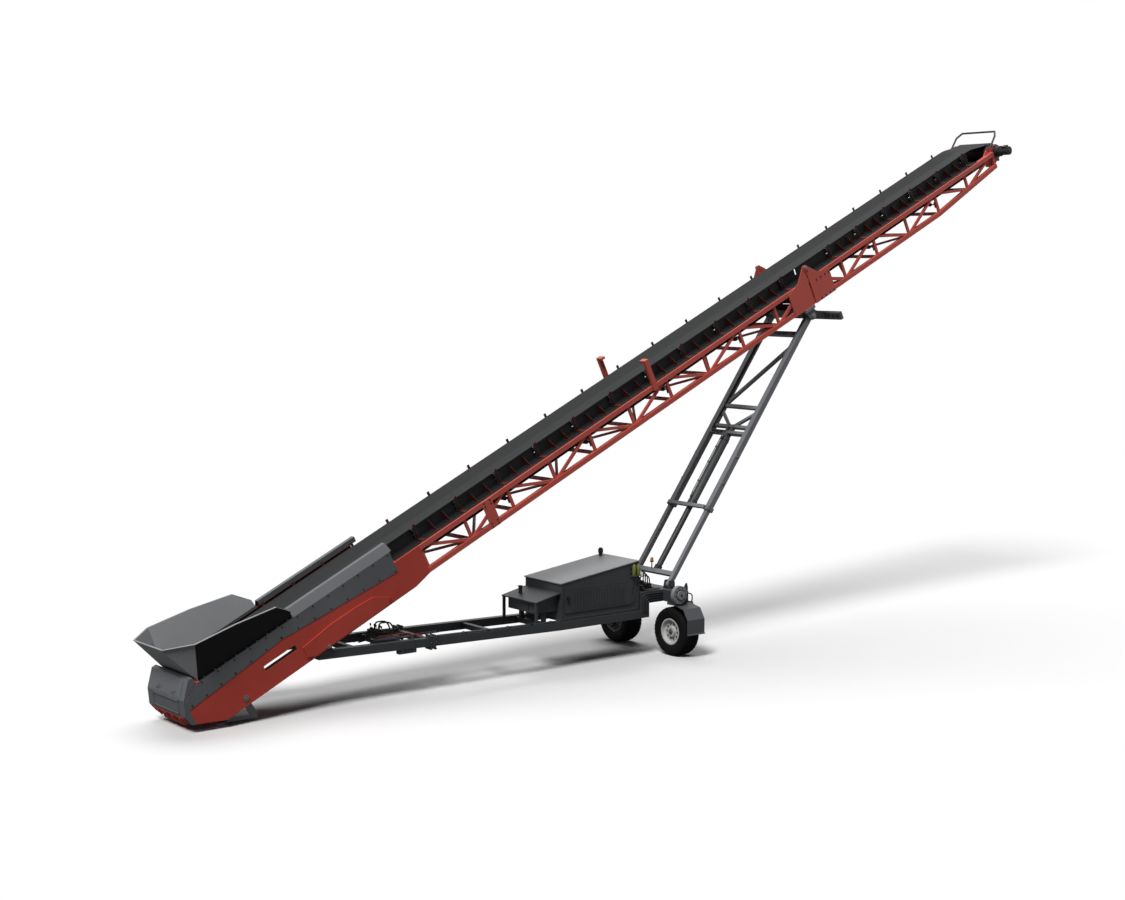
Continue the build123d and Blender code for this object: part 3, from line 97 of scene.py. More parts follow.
def skyWorld():
    # white where it is seen, and dim as a light
    world = bpy.data.worlds.new("studioSky")
    world.use_nodes = True
    tree = world.node_tree
    rays = addNode(tree, "ShaderNodeLightPath")
    seen = rays.outputs["Is Camera Ray"]
    for kind in ("Is Glossy Ray", "Is Transmission Ray"):
        seen = addNode(tree, "ShaderNodeMath", {0: seen, 1: rays.outputs[kind]}, operation="MAXIMUM").outputs[0]
    level = addNode(tree, "ShaderNodeMapRange", {"Value": seen, "To Min": light["sky"], "To Max": 1.0})
    feed(tree, tree.nodes["Background"], {"Strength": level.outputs["Result"], "Color": (1, 1, 1, 1)})
    scene.world = world


skyWorld()


def makeFloor():
    bm = bmesh.new()
    bmesh.ops.create_circle(bm, cap_ends=True, radius=light["floorRadius"], segments=96)
    mesh = bpy.data.meshes.new("floor")
    bm.to_mesh(mesh)
    bm.free()
    material = bpy.data.materials.new("paleFloor")
    material.use_nodes = True
    tree = material.node_tree
    rays = addNode(tree, "ShaderNodeLightPath")
    level = addNode(tree, "ShaderNodeMapRange", {
        "Value": rays.outputs["Is Camera Ray"], "To Min": light["floorBounce"], "To Max": light["floorShown"]})
    feed(tree, tree.nodes["Principled BSDF"], {
        "Roughness": 0.9, "Specular IOR Level": 0.0, "Base Color": level.outputs["Result"]})
    mesh.materials.append(material)
    floor = bpy.data.objects.new("floor", mesh)
    scene.collection.objects.link(floor)


makeFloor()
print("stage set")


def linear(rgb):
    return [((c / 255) / 12.92 if c <= 10 else ((c / 255 + 0.055) / 1.055) ** 2.4) for c in rgb]


def finish(name, rgb, rough, drift=0.10, patch=0.9, grain=260.0, bump=0.02, metal=0.0, shine=0.3, wear=0.0,
           wearRgb=(150, 148, 145), stretch=(1, 1, 1)):
    material = bpy.data.materials.new(name)
    material.use_nodes = True
    tree = material.node_tree
    place = addNode(tree, "ShaderNodeTexCoord").outputs["Object"]
    along = addNode(tree, "ShaderNodeMapping", {"Vector": place, "Scale": stretch})
    broad = addNode(tree, "ShaderNodeTexNoise", {"Vector": along.outputs["Vector"], "Scale": patch, "Detail": 5})
    fine = addNode(tree, "ShaderNodeTexNoise", {"Vector": place, "Scale": grain, "Detail": 3})
    ramp = addNode(tree, "ShaderNodeValToRGB", {"Fac": broad.outputs["Fac"]})
    for stop, position, shade in zip(ramp.color_ramp.elements, (0.3, 0.7), (1 - drift, 1 + drift)):
        stop.position = position
        stop.color = [c * shade for c in linear(rgb)] + [1]
    colour = ramp.outputs["Color"]
    if wear:
        scuff = addNode(tree, "ShaderNodeTexNoise", {"Vector": place, "Scale": 7.0, "Detail": 12, "Roughness": 0.72})
        cut = addNode(tree, "ShaderNodeMapRange", {
            "Value": scuff.outputs["Fac"], "From Min": 0.60, "From Max": 0.74, "To Max": wear})
        mix = addNode(tree, "ShaderNodeMix", {
            "Factor": cut.outputs["Result"], "A": colour, "B": linear(wearRgb) + [1]}, data_type="RGBA")
        colour = mix.outputs["Result"]
    gloss = addNode(tree, "ShaderNodeMapRange", {
        "Value": broad.outputs["Fac"], "To Min": max(rough - 0.07, 0.03), "To Max": min(rough + 0.09, 1)})
    relief = addNode(tree, "ShaderNodeBump", {"Height": fine.outputs["Fac"], "Strength": bump * 10, "Distance": 0.001})
    feed(tree, tree.nodes["Principled BSDF"], {
        "Metallic": metal, "Specular IOR Level": shine, "Base Color": colour, "Roughness": gloss.outputs["Result"],
        "Normal": relief.outputs["Normal"]})
    return material


paint = {
    "red": finish("redPaint", (204, 80, 67), 0.40, drift=0.07, wear=0.25, wearRgb=(156, 62, 53)),
    # a lighter, pinker copy of the red paint on the truss and head: painted light
    "litTrussRed": finish("trussPaintLit", (216, 100, 88), 0.42, drift=0.07, wear=0.25, wearRgb=(176, 76, 66)),
    "charcoal": finish("charcoalPaint", (66, 68, 71), 0.46, drift=0.12, wear=0.3, wearRgb=(88, 89, 90)),
    "cover": finish("coverPaint", (106, 109, 113), 0.44, drift=0.08),
    "hood": finish("hoodPaint", (146, 148, 150), 0.44, drift=0.05, wear=0.2, wearRgb=(158, 159, 160)),
    "skirt": finish("skirtPaint", (102, 104, 107), 0.46, drift=0.06),
    "legGrey": finish("legPaint", (132, 134, 138), 0.42, drift=0.08, wear=0.2, wearRgb=(148, 149, 150)),
    "hopper": finish("hopperPaint", (150, 152, 155), 0.5, drift=0.07, wear=0.3, wearRgb=(138, 138, 136)),
    "belt": finish("beltRubber", (35, 36, 37), 0.66, drift=0.34, patch=1.0, grain=420, bump=0.05, shine=0.2,
                   stretch=(0.06, 9, 0.06)),
    "tyre": finish("tyreRubber", (19, 19, 20), 0.74, drift=0.18, patch=6, grain=300, bump=0.05, shine=0.15),
    "rim": finish("rimPaint", (210, 210, 208), 0.36, drift=0.04),
    "roller": finish("rollerSteel", (50, 51, 53), 0.46, drift=0.15),
    "base": finish("baseSteel", (164, 169, 175), 0.46, drift=0.10, wear=0.3),
    "guard": finish("guardPaint", (84, 86, 90), 0.46, drift=0.10, wear=0.3, wearRgb=(100, 101, 102)),
    "gear": finish("gearPaint", (150, 152, 155), 0.44, drift=0.10),
    "ram": finish("ramPaint", (92, 94, 97), 0.40, drift=0.06),
    "sleeve": finish("ramSleeve", (58, 60, 63), 0.34, drift=0.05),
    "iron": finish("engineIron", (74, 75, 76), 0.6, drift=0.15, bump=0.06),
    "lightBar": finish("lightBarPaint", (92, 94, 98), 0.44, drift=0.10),
    # a dark copy of the red paint: painted shade on the idler frames and shield stays inside the boom
    "idlerFrameShadedRed": finish("idlerFrameShadedRed", (74, 30, 28), 0.5, drift=0.12),
    "zinc": finish("zincFastener", (128, 128, 126), 0.38, drift=0.10, metal=0.8),
    # black trim; the same black is also painted shade on the belt shields, the hopper side sheets, the hopper foot
    # strips and the slot plates
    "blackAndShade": finish("blackTrimAndShade", (26, 26, 27), 0.55, drift=0.12, shine=0.2),
    "olive": finish("oliveCanister", (122, 126, 62), 0.4, drift=0.08),
    "lensRed": finish("lensRed", (168, 22, 20), 0.15, drift=0.03, shine=0.5, bump=0.0),
    "lensAmber": finish("lensAmber", (220, 120, 24), 0.15, drift=0.03, shine=0.5, bump=0.0),
    "lensClear": finish("lensClear", (208, 212, 214), 0.12, drift=0.03, shine=0.5, bump=0.0),
}
nodeFinish = {
    "red": ["tail_frame"],
    "litTrussRed": ["main_truss", "splice_plates", "fold_plates_main", "rest_posts", "head_truss", "fold_plates_head",
                 "head_bearing_plates"],
    "charcoal": ["drawbar_beams", "drawbar_cross_members", "axle_beam", "leg_pedestals", "pack_floor",
                 "pack_housing", "pack_door", "front_tank", "head_guard"],
    "guard": ["wheel_carrier_near", "wheel_carrier_far", "mudguard_near", "mudguard_far"],
    "gear": ["drive_gear_cases"],
    "cover": ["side_covers", "tail_guard"],
    "hood": ["pack_hood"],
    "skirt": ["skirts"],
    "legGrey": ["leg_inner_frame", "leg_outer_frame", "leg_brackets"],
    "hopper": ["hopper"],
    "belt": ["belt_main", "belt_head"],
    "tyre": ["tyre_near", "tyre_far"],
    "rim": ["rim_near", "rim_far"],
    "roller": ["carry_idlers_main", "carry_idlers_head", "return_rollers_main", "return_rollers_head", "tail_pulley",
               "head_pulley", "head_motor", "valve_bank", "exhaust_stack"],
    "base": ["tail_yoke", "pivot_base"],
    # the belt shields are black as painted shade, for the dark space between the belt edges and the top chords
    "blackAndShade": ["belt_shields_main", "belt_shields_head"],
    "ram": ["cylinder_barrel"],
    "sleeve": ["cylinder_rod"],
    "iron": ["engine_block"],
    "lightBar": ["light_bar"],
}
for key, names in nodeFinish.items():
    for name in names:
        mesh = nodes[name].data
        mesh.materials.clear()
        mesh.materials.append(paint[key])
print("finishes set")


def addBox(bm, x, y, z):
    corners = [bm.verts.new((a, b, c)) for a in x for b in y for c in z]
    for face in ((0, 1, 3, 2), (4, 6, 7, 5), (0, 4, 5, 1), (2, 3, 7, 6), (0, 2, 6, 4), (1, 5, 7, 3)):
        bm.faces.new([corners[i] for i in face])
    return corners


def addPrism(bm, outline, lo, hi, along="y"):
    put = {"x": lambda p, t: (t, p[0], p[1]),
           "y": lambda p, t: (p[0], t, p[1]),
           "z": lambda p, t: (p[0], p[1], t)}[along]
    ends = [[bm.verts.new(put(p, t)) for p in outline] for t in (lo, hi)]
    for end in ends:
        bm.faces.new(end)
    for i in range(len(outline)):
        bm.faces.new((ends[0][i - 1], ends[0][i], ends[1][i], ends[1][i - 1]))
    return ends[0] + ends[1]


def addRod(bm, start, end, radius, sides=16, tip=None):
    start, end = Vector(start), Vector(end)
    turn = (end - start).to_track_quat("Z", "Y").to_matrix().to_4x4()
    place = Matrix.Translation((start + end) / 2) @ turn
    made = bmesh.ops.create_cone(bm, cap_ends=True, segments=sides, radius1=radius,
                                 radius2=radius if tip is None else tip, depth=(end - start).length, matrix=place)
    return made["verts"]


def roundRing(bm, x, r, sides, place=Matrix()):
    turns = [2 * pi * i / sides for i in range(sides)]
    return [bm.verts.new(place @ Vector((x, r * cos(t), r * sin(t)))) for t in turns]


def joinRings(bm, rings, closed=False):
    # skins a row of rings, and either joins its ends or caps them
    for a, b in zip(rings, rings[1:] + rings[:1] if closed else rings[1:]):
        for i in range(len(a)):
            bm.faces.new((a[i - 1], a[i], b[i], b[i - 1]))
    if not closed:
        bm.faces.new(rings[0])
        bm.faces.new(rings[-1])


def addTurned(bm, profile, sides, place=Matrix()):
    # profile of (distance along X, radius), closed at both ends
    joinRings(bm, [roundRing(bm, x, r, sides, place) for x, r in profile])


def addRing(bm, span, inner, outer, sides, place=Matrix()):
    # hollow ring round the local X axis
    profile = ((span[0], inner), (span[0], outer), (span[1], outer), (span[1], inner))
    joinRings(bm, [roundRing(bm, x, r, sides, place) for x, r in profile], closed=True)


def addPipe(bm, points, radius, sides=8, bend=0.05):
    points = [Vector(p) for p in points]
    path = [points[0]]
    for before, at, after in zip(points, points[1:], points[2:]):
        into, out = (before - at), (after - at)
        reach = min(bend, into.length * 0.45, out.length * 0.45)
        a, b = at + into.normalized() * reach, at + out.normalized() * reach
        for step in range(5):
            t = step / 4
            path.append(a * (1 - t) ** 2 + at * 2 * t * (1 - t) + b * t ** 2)
    path.append(points[-1])
    turns = [2 * pi * k / sides for k in range(sides)]
    side = None
    rings = []
    for i, p in enumerate(path):
        ahead = (path[min(i + 1, len(path) - 1)] - path[max(i - 1, 0)]).normalized()
        if side is None:
            side = ahead.orthogonal().normalized()
        side = (side - ahead * side.dot(ahead)).normalized()
        other = ahead.cross(side)
        rings.append([bm.verts.new(p + side * radius * cos(t) + other * radius * sin(t)) for t in turns])
    joinRings(bm, rings)


def toMesh(name, bm, place=None, smooth=38):
    bmesh.ops.recalc_face_normals(bm, faces=bm.faces)
    if place is not None:
        bm.transform(place)
    mesh = bpy.data.meshes.new(name)
    bm.to_mesh(mesh)
    bm.free()
    mesh.shade_smooth()
    mesh.set_sharp_from_angle(angle=radians(smooth))
    return mesh


def makePiece(name, bm, look, body, place=None, bevel=0.0, smooth=38):
    mesh = toMesh(name, bm, place, smooth)
    mesh.materials.append(paint[look])
    piece = bpy.data.objects.new(name, mesh)
    scene.collection.objects.link(piece)
    if bevel:
        edge = piece.modifiers.new("edge", "BEVEL")
        edge.width = bevel
        edge.segments = 2
        edge.limit_method = "ANGLE"
        edge.angle_limit = radians(35)
        edge.harden_normals = True
    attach(piece, body)
    return piece


def newTree(name, sockets):
    tree = bpy.data.node_groups.new(name, "GeometryNodeTree")
    tree.interface.new_socket("Geometry", in_out="INPUT", socket_type="NodeSocketGeometry")
    for label, kind in sockets.items():
        tree.interface.new_socket(label, in_out="INPUT", socket_type="NodeSocket" + kind)
    tree.interface.new_socket("Geometry", in_out="OUTPUT", socket_type="NodeSocketGeometry")
    return tree, addNode(tree, "NodeGroupInput").outputs


def endTree(tree, spread, material):
    # makes the instances real and coats them
    solid = addNode(tree, "GeometryNodeRealizeInstances", {"Geometry": spread.outputs["Instances"]})
    coat = addNode(tree, "GeometryNodeSetMaterial", {"Geometry": solid.outputs["Geometry"], "Material": material})
    addNode(tree, "NodeGroupOutput", {"Geometry": coat.outputs["Geometry"]})
    return tree


def buildArrayTree():
    tree, given = newTree("arrayOfUnits", {"Unit": "Object", "Count": "Int", "Start": "Vector", "Step": "Vector",
                                           "Turn": "Vector", "Material": "Material"})
    line = addNode(tree, "GeometryNodeMeshLine", {
        "Count": given["Count"], "Start Location": given["Start"], "Offset": given["Step"]})
    number = addNode(tree, "GeometryNodeInputIndex")
    angle = addNode(tree, "ShaderNodeVectorMath", {0: given["Turn"], 1: number.outputs["Index"]}, operation="MULTIPLY")
    turn = addNode(tree, "FunctionNodeEulerToRotation", {"Euler": angle.outputs["Vector"]})
    unit = addNode(tree, "GeometryNodeObjectInfo", {"Object": given["Unit"]})
    spread = addNode(tree, "GeometryNodeInstanceOnPoints", {
        "Points": line.outputs["Mesh"], "Instance": unit.outputs["Geometry"], "Rotation": turn.outputs["Rotation"]})
    return endTree(tree, spread, given["Material"])


def buildBoltTree():
    tree, given = newTree("boltsOnPoints", {"Across": "Float", "Height": "Float", "Washer": "Float",
                                            "Material": "Material"})
    # 0.577 of the width across flats is a hexagon's radius
    half = addNode(tree, "ShaderNodeMath", {0: given["Across"], 1: 0.577}, operation="MULTIPLY")
    head = addNode(tree, "GeometryNodeMeshCylinder", {
        "Vertices": 6, "Radius": half.outputs[0], "Depth": given["Height"]})
    raised = addNode(tree, "ShaderNodeMath", {0: given["Height"], 1: 0.5}, operation="MULTIPLY")
    lift = addNode(tree, "ShaderNodeCombineXYZ", {"Z": raised.outputs[0]})
    headUp = addNode(tree, "GeometryNodeTransform", {
        "Geometry": head.outputs["Mesh"], "Translation": lift.outputs["Vector"]})
    washer = addNode(tree, "GeometryNodeMeshCylinder", {"Vertices": 14, "Depth": 0.006, "Radius": given["Washer"]})
    both = addNode(tree, "GeometryNodeJoinGeometry", {"Geometry": headUp.outputs["Geometry"]})
    feed(tree, both, {"Geometry": washer.outputs["Mesh"]})
    points = addNode(tree, "GeometryNodeMeshToPoints", {"Mesh": given["Geometry"]})
    facing = addNode(tree, "GeometryNodeInputNamedAttribute", {"Name": "facing"}, data_type="FLOAT_VECTOR")
    turn = addNode(tree, "FunctionNodeAlignRotationToVector", {"Vector": facing.outputs["Attribute"]}, axis="Z")
    spread = addNode(tree, "GeometryNodeInstanceOnPoints", {
        "Points": points.outputs["Points"], "Instance": both.outputs["Geometry"], "Rotation": turn.outputs["Rotation"]})
    return endTree(tree, spread, given["Material"])


arrayTree = buildArrayTree()
boltTree = buildBoltTree()


def settle(holder, tree, values, body, place=None):
    # runs a node tree once and keeps its result as a plain mesh
    work = holder.modifiers.new("tree", "NODES")
    work.node_group = tree
    for item in tree.interface.items_tree:
        if item.in_out == "INPUT" and item.name in values:
            work[item.identifier] = values[item.name]
    bpy.context.view_layer.update()
    mesh = bpy.data.meshes.new_from_object(holder.evaluated_get(bpy.context.evaluated_depsgraph_get()))
    holder.modifiers.clear()
    holder.data = mesh
    if place is not None:
        mesh.transform(place)
    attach(holder, body)
    return holder


def arrayPiece(name, unitBm, look, body, count, start=(0, 0, 0), step=(0, 0, 0), turn=(0, 0, 0), place=None,
               smooth=38):
    unit = bpy.data.objects.new(name + "Unit", toMesh(name + "Unit", unitBm, smooth=smooth))
    scene.collection.objects.link(unit)
    holder = bpy.data.objects.new(name, bpy.data.meshes.new(name))
    scene.collection.objects.link(holder)
    values = {"Unit": unit, "Count": count, "Start": start, "Step": step, "Turn": turn, "Material": paint[look]}
    settle(holder, arrayTree, values, body, place)
    bpy.data.objects.remove(unit)
    return holder


def boltPiece(name, spots, body, across, height, look="zinc"):
    # spots: (point, outward direction) pairs in the row frame
    mesh = bpy.data.meshes.new(name)
    mesh.from_pydata([tuple(p) for p, f in spots], [], [])
    facing = mesh.attributes.new("facing", "FLOAT_VECTOR", "POINT")
    facing.data.foreach_set("vector", [c for p, f in spots for c in f])
    holder = bpy.data.objects.new(name, mesh)
    scene.collection.objects.link(holder)
    values = {"Across": across, "Height": height, "Washer": across * 0.78, "Material": paint[look]}
    return settle(holder, boltTree, values, body)


def placed(place, spots):
    turn = place.to_3x3()
    return [(place @ Vector(p), turn @ Vector(f)) for p, f in spots]


def boltRing(u, w, face, radius, count, out):
    # spots on a circle that faces along Y
    turns = [2 * pi / count * i for i in range(count)]
    return [((u + radius * cos(t), face, w + radius * sin(t)), (0, out, 0)) for t in turns]


def upright(x, y, z):
    # stands a turned profile on its end
    return Matrix.Translation((x, y, z)) @ Matrix.Rotation(-pi / 2, 4, "Y")


def bothSides(spots):
    return spots + [((p[0], -p[1], p[2]), (f[0], -f[1], f[2])) for p, f in spots]


def rowOf(start, end, count):
    start, end = Vector(start), Vector(end)
    return [start.lerp(end, i / (count - 1)) for i in range(count)]


print("node trees built")


belt = {"radius": 0.2004, "thick": 0.012, "flat": 0.17, "angle": 25.0, "line": 0.345, "carry": 0.5545, "tail": 0.7,
        "head": 25.1, "settle": 0.8, "foldFrom": 17.2, "foldTo": 18.36, "wrap": 18,
        "arms": (0, 0.06, 0.12, 0.15, 0.165, 0.18, 0.195, 0.22, 0.28, 0.34, 0.40, 0.44, 0.46),
        "step": 0.35, "stepEnd": 0.08, "stepFold": 0.03}


def eased(t):
    return t * t * (3 - 2 * t)


def beltSlope(a):
    # share of the full trough angle at distance a from the middle
    return eased(min(max((abs(a) - (belt["flat"] - 0.03)) / 0.06, 0), 1))


def troughLine(share):
    # (side, lift) points of the belt's underside for a share of the trough
    y = w = 0.0
    right = [(0.0, 0.0)]
    for a, b in zip(belt["arms"], belt["arms"][1:]):
        slope = radians(belt["angle"]) * share * (beltSlope(a) + beltSlope(b)) / 2
        y += (b - a) * cos(slope)
        w += (b - a) * sin(slope)
        right.append((y, w))
    return [(-y, w) for y, w in reversed(right[1:])] + right


def halfTurn(run, top):
    # stations round the pulley at run, from the angle top
    angles = [top - pi * i / belt["wrap"] for i in range(1, belt["wrap"])]
    return [(run + belt["radius"] * cos(t), belt["line"] + belt["radius"] * sin(t), t, 0) for t in angles]


def beltStations():
    # (run, height of the inner face, angle of the outward normal, share of trough) round the loop
    runs = []
    u = belt["tail"]
    while u < belt["head"] - 0.001:
        runs.append(u)
        near = belt["foldFrom"] - 0.1 < u < belt["foldTo"] + 0.1
        end = u < belt["tail"] + belt["settle"] or u > belt["head"] - belt["settle"] - 0.05
        u += belt["stepFold"] if near else (belt["stepEnd"] if end else belt["step"])
    runs.append(belt["head"])
    top = belt["line"] + belt["radius"]
    out = []
    for u in runs:
        share = eased(min((u - belt["tail"]) / belt["settle"], (belt["head"] - u) / belt["settle"], 1))
        out.append((u, top + (belt["carry"] - top) * share, pi / 2, share))
    back = [(u, belt["line"] - belt["radius"], -pi / 2, 0) for u in reversed(runs)]
    return out + halfTurn(belt["head"], pi / 2) + back + halfTurn(belt["tail"], -pi / 2)


def makeBelt():
    bm = bmesh.new()
    loops = []
    for u, w, angle, share in beltStations():
        line = troughLine(share)
        under, over = [], []
        for i, (y, lift) in enumerate(line):
            a, b = line[max(i - 1, 0)], line[min(i + 1, len(line) - 1)]
            length = hypot(b[0] - a[0], b[1] - a[1])
            ny, nw = -(b[1] - a[1]) / length, (b[0] - a[0]) / length
            under.append(bm.verts.new((u + lift * cos(angle), y, w + lift * sin(angle))))
            rise = lift + nw * belt["thick"]
            over.append(bm.verts.new((u + rise * cos(angle), y + ny * belt["thick"], w + rise * sin(angle))))
        loops.append((under, over))
    for (au, ao), (bu, bo) in zip(loops, loops[1:] + loops[:1]):
        for i in range(len(au) - 1):
            bm.faces.new((au[i], au[i + 1], bu[i + 1], bu[i]))
            bm.faces.new((ao[i], bo[i], bo[i + 1], ao[i + 1]))
        bm.faces.new((au[0], bu[0], bo[0], ao[0]))
        bm.faces.new((au[-1], ao[-1], bo[-1], bu[-1]))
    mesh = toMesh("beltLoop", bm, boomFrame, 50)
    mesh.materials.append(paint["belt"])
    piece = bpy.data.objects.new("beltLoop", mesh)
    scene.collection.objects.link(piece)
    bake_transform(piece)
    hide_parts("belt_main", "belt_head")


makeBelt()
print("belt made")


idler = {"radius": 0.054, "height": 0.5, "wing": 0.27, "angle": 25.0, "flat": 0.17, "foot": 0.41, "axle": 0.012,
         "postTop": 0.744,
         "rows": {"feed": (1.57, 0.74, 6, 0.718, "boom"), "main": (6.19, 1.106, 11, 0.69, "boom"),
                  "head": (18.92, 1.03, 6, 0.69, "head_section")}}
wingTurn = radians(idler["angle"])
wingReach, wingRise = idler["wing"] / 2 * cos(wingTurn), idler["wing"] / 2 * sin(wingTurn)
wingMid = (idler["flat"] + 0.008 + wingReach + idler["radius"] * sin(wingTurn),
           idler["height"] + idler["radius"] + wingRise - idler["radius"] * cos(wingTurn) - 0.001)


def rollerShell(half, radius, axle):
    # tube with rolled ends, recessed seal discs and a stub of axle
    return [(-half - 0.02, 0.001), (-half - 0.02, axle), (-half + 0.006, axle), (-half + 0.006, radius * 0.78),
            (-half, radius * 0.82), (-half, radius - 0.004), (-half + 0.004, radius),
            (half - 0.004, radius), (half, radius - 0.004), (half, radius * 0.82), (half - 0.006, radius * 0.78),
            (half - 0.006, axle), (half + 0.02, axle), (half + 0.02, 0.001)]


def idlerRollers():
    bm = bmesh.new()
    along = Matrix.Rotation(pi / 2, 4, "Z")  # turned profiles run along Y
    addTurned(bm, rollerShell(idler["flat"] - 0.002, idler["radius"], idler["axle"]), 20,
              Matrix.Translation((0, 0, idler["height"])) @ along)
    for side in (-1, 1):
        lean = Matrix.Rotation(side * wingTurn, 4, "X")
        place = Matrix.Translation((0, side * wingMid[0], wingMid[1])) @ lean @ along
        addTurned(bm, rollerShell(idler["wing"] / 2, idler["radius"], idler["axle"]), 20, place)
    return bm


def idlerFrameShadedRed(half):
    bm = bmesh.new()
    top = idler["foot"] + 0.02
    seat, fork, post = top - 0.004, idler["height"] + 0.024, idler["postTop"]
    addBox(bm, (-0.045, 0.045), (-half, half), (top - 0.006, top))
    for u in (-0.045, 0.039):
        addBox(bm, (u, u + 0.006), (-half, half), (idler["foot"] + 0.0005, seat))
    tip = wingMid[0] + wingReach
    for side in (-1, 1):
        y = side * (idler["flat"] + 0.01)
        addPrism(bm, [(-0.032, seat), (0.032, seat), (0.020, fork), (-0.020, fork)], y - 0.004, y + 0.004)
        foot, head = side * (tip - 0.012), side * (tip + 0.032)
        for shift, width in ((0.0, 0.030), (-0.01, 0.006)):
            a = foot + side * shift
            addPrism(bm, [(a, seat), (a + side * 0.008, seat), (head + side * 0.008, post), (head, post)],
                     -width, width, "x")
        addPrism(bm, [(foot + side * 0.008, seat), (foot + side * 0.09, seat), (head + side * 0.004, post - 0.14)],
                 -0.004, 0.004, "x")
    return bm


# the idler frames take the shaded copy of the red paint
for row, (first, pitch, count, half, body) in idler["rows"].items():
    for kind, unit, look, slot in (("Rollers_", idlerRollers(), "roller", "roller_steel"),
                                   ("Frames_", idlerFrameShadedRed(half), "idlerFrameShadedRed", "red_paint")):
        arrayPiece("idler" + kind + row, unit, look, body, count, (first, 0, 0), (pitch, 0, 0), place=boomFrame)
for body, node in (("main", "carry_idlers_main"), ("head", "carry_idlers_head")):
    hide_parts(node)

returns = {"radius": 0.045, "half": 0.5, "height": 0.088, "axle": 0.014, "reach": 0.655,
           "rows": {"main": (6.0 + 2 * 1.1776, 2.3552, 4, "boom"),
                    "head": (17.784 + 2 * 1.186, 2.372, 2, "head_section")}}


def returnRoller():
    bm = bmesh.new()
    along = Matrix.Translation((0, 0, returns["height"])) @ Matrix.Rotation(pi / 2, 4, "Z")
    half, r, axle, reach = returns["half"], returns["radius"], returns["axle"], returns["reach"]
    shell = [(-reach, 0.001), (-reach, axle), (-half + 0.006, axle), (-half + 0.006, r * 0.8), (-half, r * 0.84),
             (-half, r - 0.004), (-half + 0.004, r)]
    addTurned(bm, shell + [(-x, q) for x, q in reversed(shell)], 20, along)
    for side in (-1, 1):
        y0, y1 = sorted((side * (reach - 0.010), side * reach))
        addPrism(bm, [(-0.06, 0.02), (0.06, 0.02), (0.06, 0.17), (-0.06, 0.17)], y0, y1)
    return bm


for row, (first, pitch, count, body) in returns["rows"].items():
    made = arrayPiece("returnRollers_" + row, returnRoller(), "roller", body, count, (first, 0, 0),
                      (pitch, 0, 0), place=boomFrame)
    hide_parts("return_rollers_" + row)
print("rollers made")


wheel = {"x": 10.35, "y": 0.95, "z": 0.53, "radius": 0.53, "groove": 0.512, "pitches": 36, "nuts": 10,
         "nutRing": 0.165, "sides": 80, "lugFoot": 0.506}
tyreSide = [(0.166, 0.2868), (0.186, 0.290), (0.196, 0.300), (0.199, 0.316), (0.206, 0.322), (0.2145, 0.350),
            (0.2185, 0.385), (0.2195, 0.400), (0.2165, 0.404), (0.2165, 0.416), (0.2185, 0.420), (0.214, 0.452),
            (0.204, 0.486), (0.190, 0.504), (0.172, 0.511)]


def tyreCarcass():
    bm = bmesh.new()
    crown = [(x, wheel["groove"] + 0.001) for x in (-0.06, 0.06)]
    profile = [(-x, r) for x, r in tyreSide] + crown + tyreSide[::-1]
    joinRings(bm, [roundRing(bm, x, r, wheel["sides"]) for x, r in profile], closed=True)
    return bm


def addLug(bm, x, arc, low, high, skew):
    # block on the crown: x range, arc range in radians, radii at foot and top for both x ends
    top, foot = [], []
    for xi, (x0, sign) in enumerate(((x[0], 1), (x[1], -1))):
        for ai, angle in enumerate(arc):
            lean = skew * (1 if xi else -1)
            t = angle + lean
            inset = 0.004 * sign
            squeeze = 0.006 * (1 if ai == 0 else -1)
            foot.append(bm.verts.new((x0, low[xi] * sin(t), low[xi] * cos(t))))
            t += squeeze
            top.append(bm.verts.new((x0 + inset, high[xi] * sin(t), high[xi] * cos(t))))
    order = (0, 1, 3, 2)
    bm.faces.new([top[i] for i in order])
    for i in range(4):
        a, b = order[i], order[(i + 1) % 4]
        bm.faces.new((foot[a], foot[b], top[b], top[a]))
    bm.faces.new([foot[i] for i in reversed(order)])


def tyreLugs():
    bm = bmesh.new()
    pitch = 2 * pi / wheel["pitches"]
    r, low = wheel["radius"], wheel["lugFoot"]
    # x range, arc range in pitches, radii at foot and top, skew
    rows = [((0.012, 0.066), (0.0, 0.72), (low, low), (r, r - 0.001), 0.014),
            ((0.080, 0.132), (0.5, 1.2), (low, low), (r - 0.001, r - 0.003), 0.014),
            ((0.146, 0.203), (0.1, 0.76), (low, 0.476), (r - 0.004, r - 0.036), 0.010)]
    for side in (-1, 1):
        offset = pitch * 0.25 * side
        for x, arc, foot, top, skew in rows:
            addLug(bm, [side * a for a in x], [offset + pitch * a for a in arc], foot, top, skew * side)
    return bm


def rimTrim():
    bm = bmesh.new()
    # face X of the dished disc is -0.12, the hub boss ends at -0.17
    addTurned(bm, [(-0.170, 0.001), (-0.188, 0.001), (-0.188, 0.052), (-0.182, 0.060), (-0.1695, 0.062),
                   (-0.1695, 0.001)], 28)
    washer, nut, stud = (-0.119, -0.124, 0.021, 12), (-0.1235, -0.142, 0.0165, 6), (-0.1415, -0.154, 0.010, 8)
    for i in range(wheel["nuts"]):
        angle = 2 * pi * i / wheel["nuts"]
        y, z = wheel["nutRing"] * cos(angle), wheel["nutRing"] * sin(angle)
        for start, end, radius, sides in (washer, nut, stud):
            addRod(bm, (start, y, z), (end, y, z), radius, sides)
    return bm


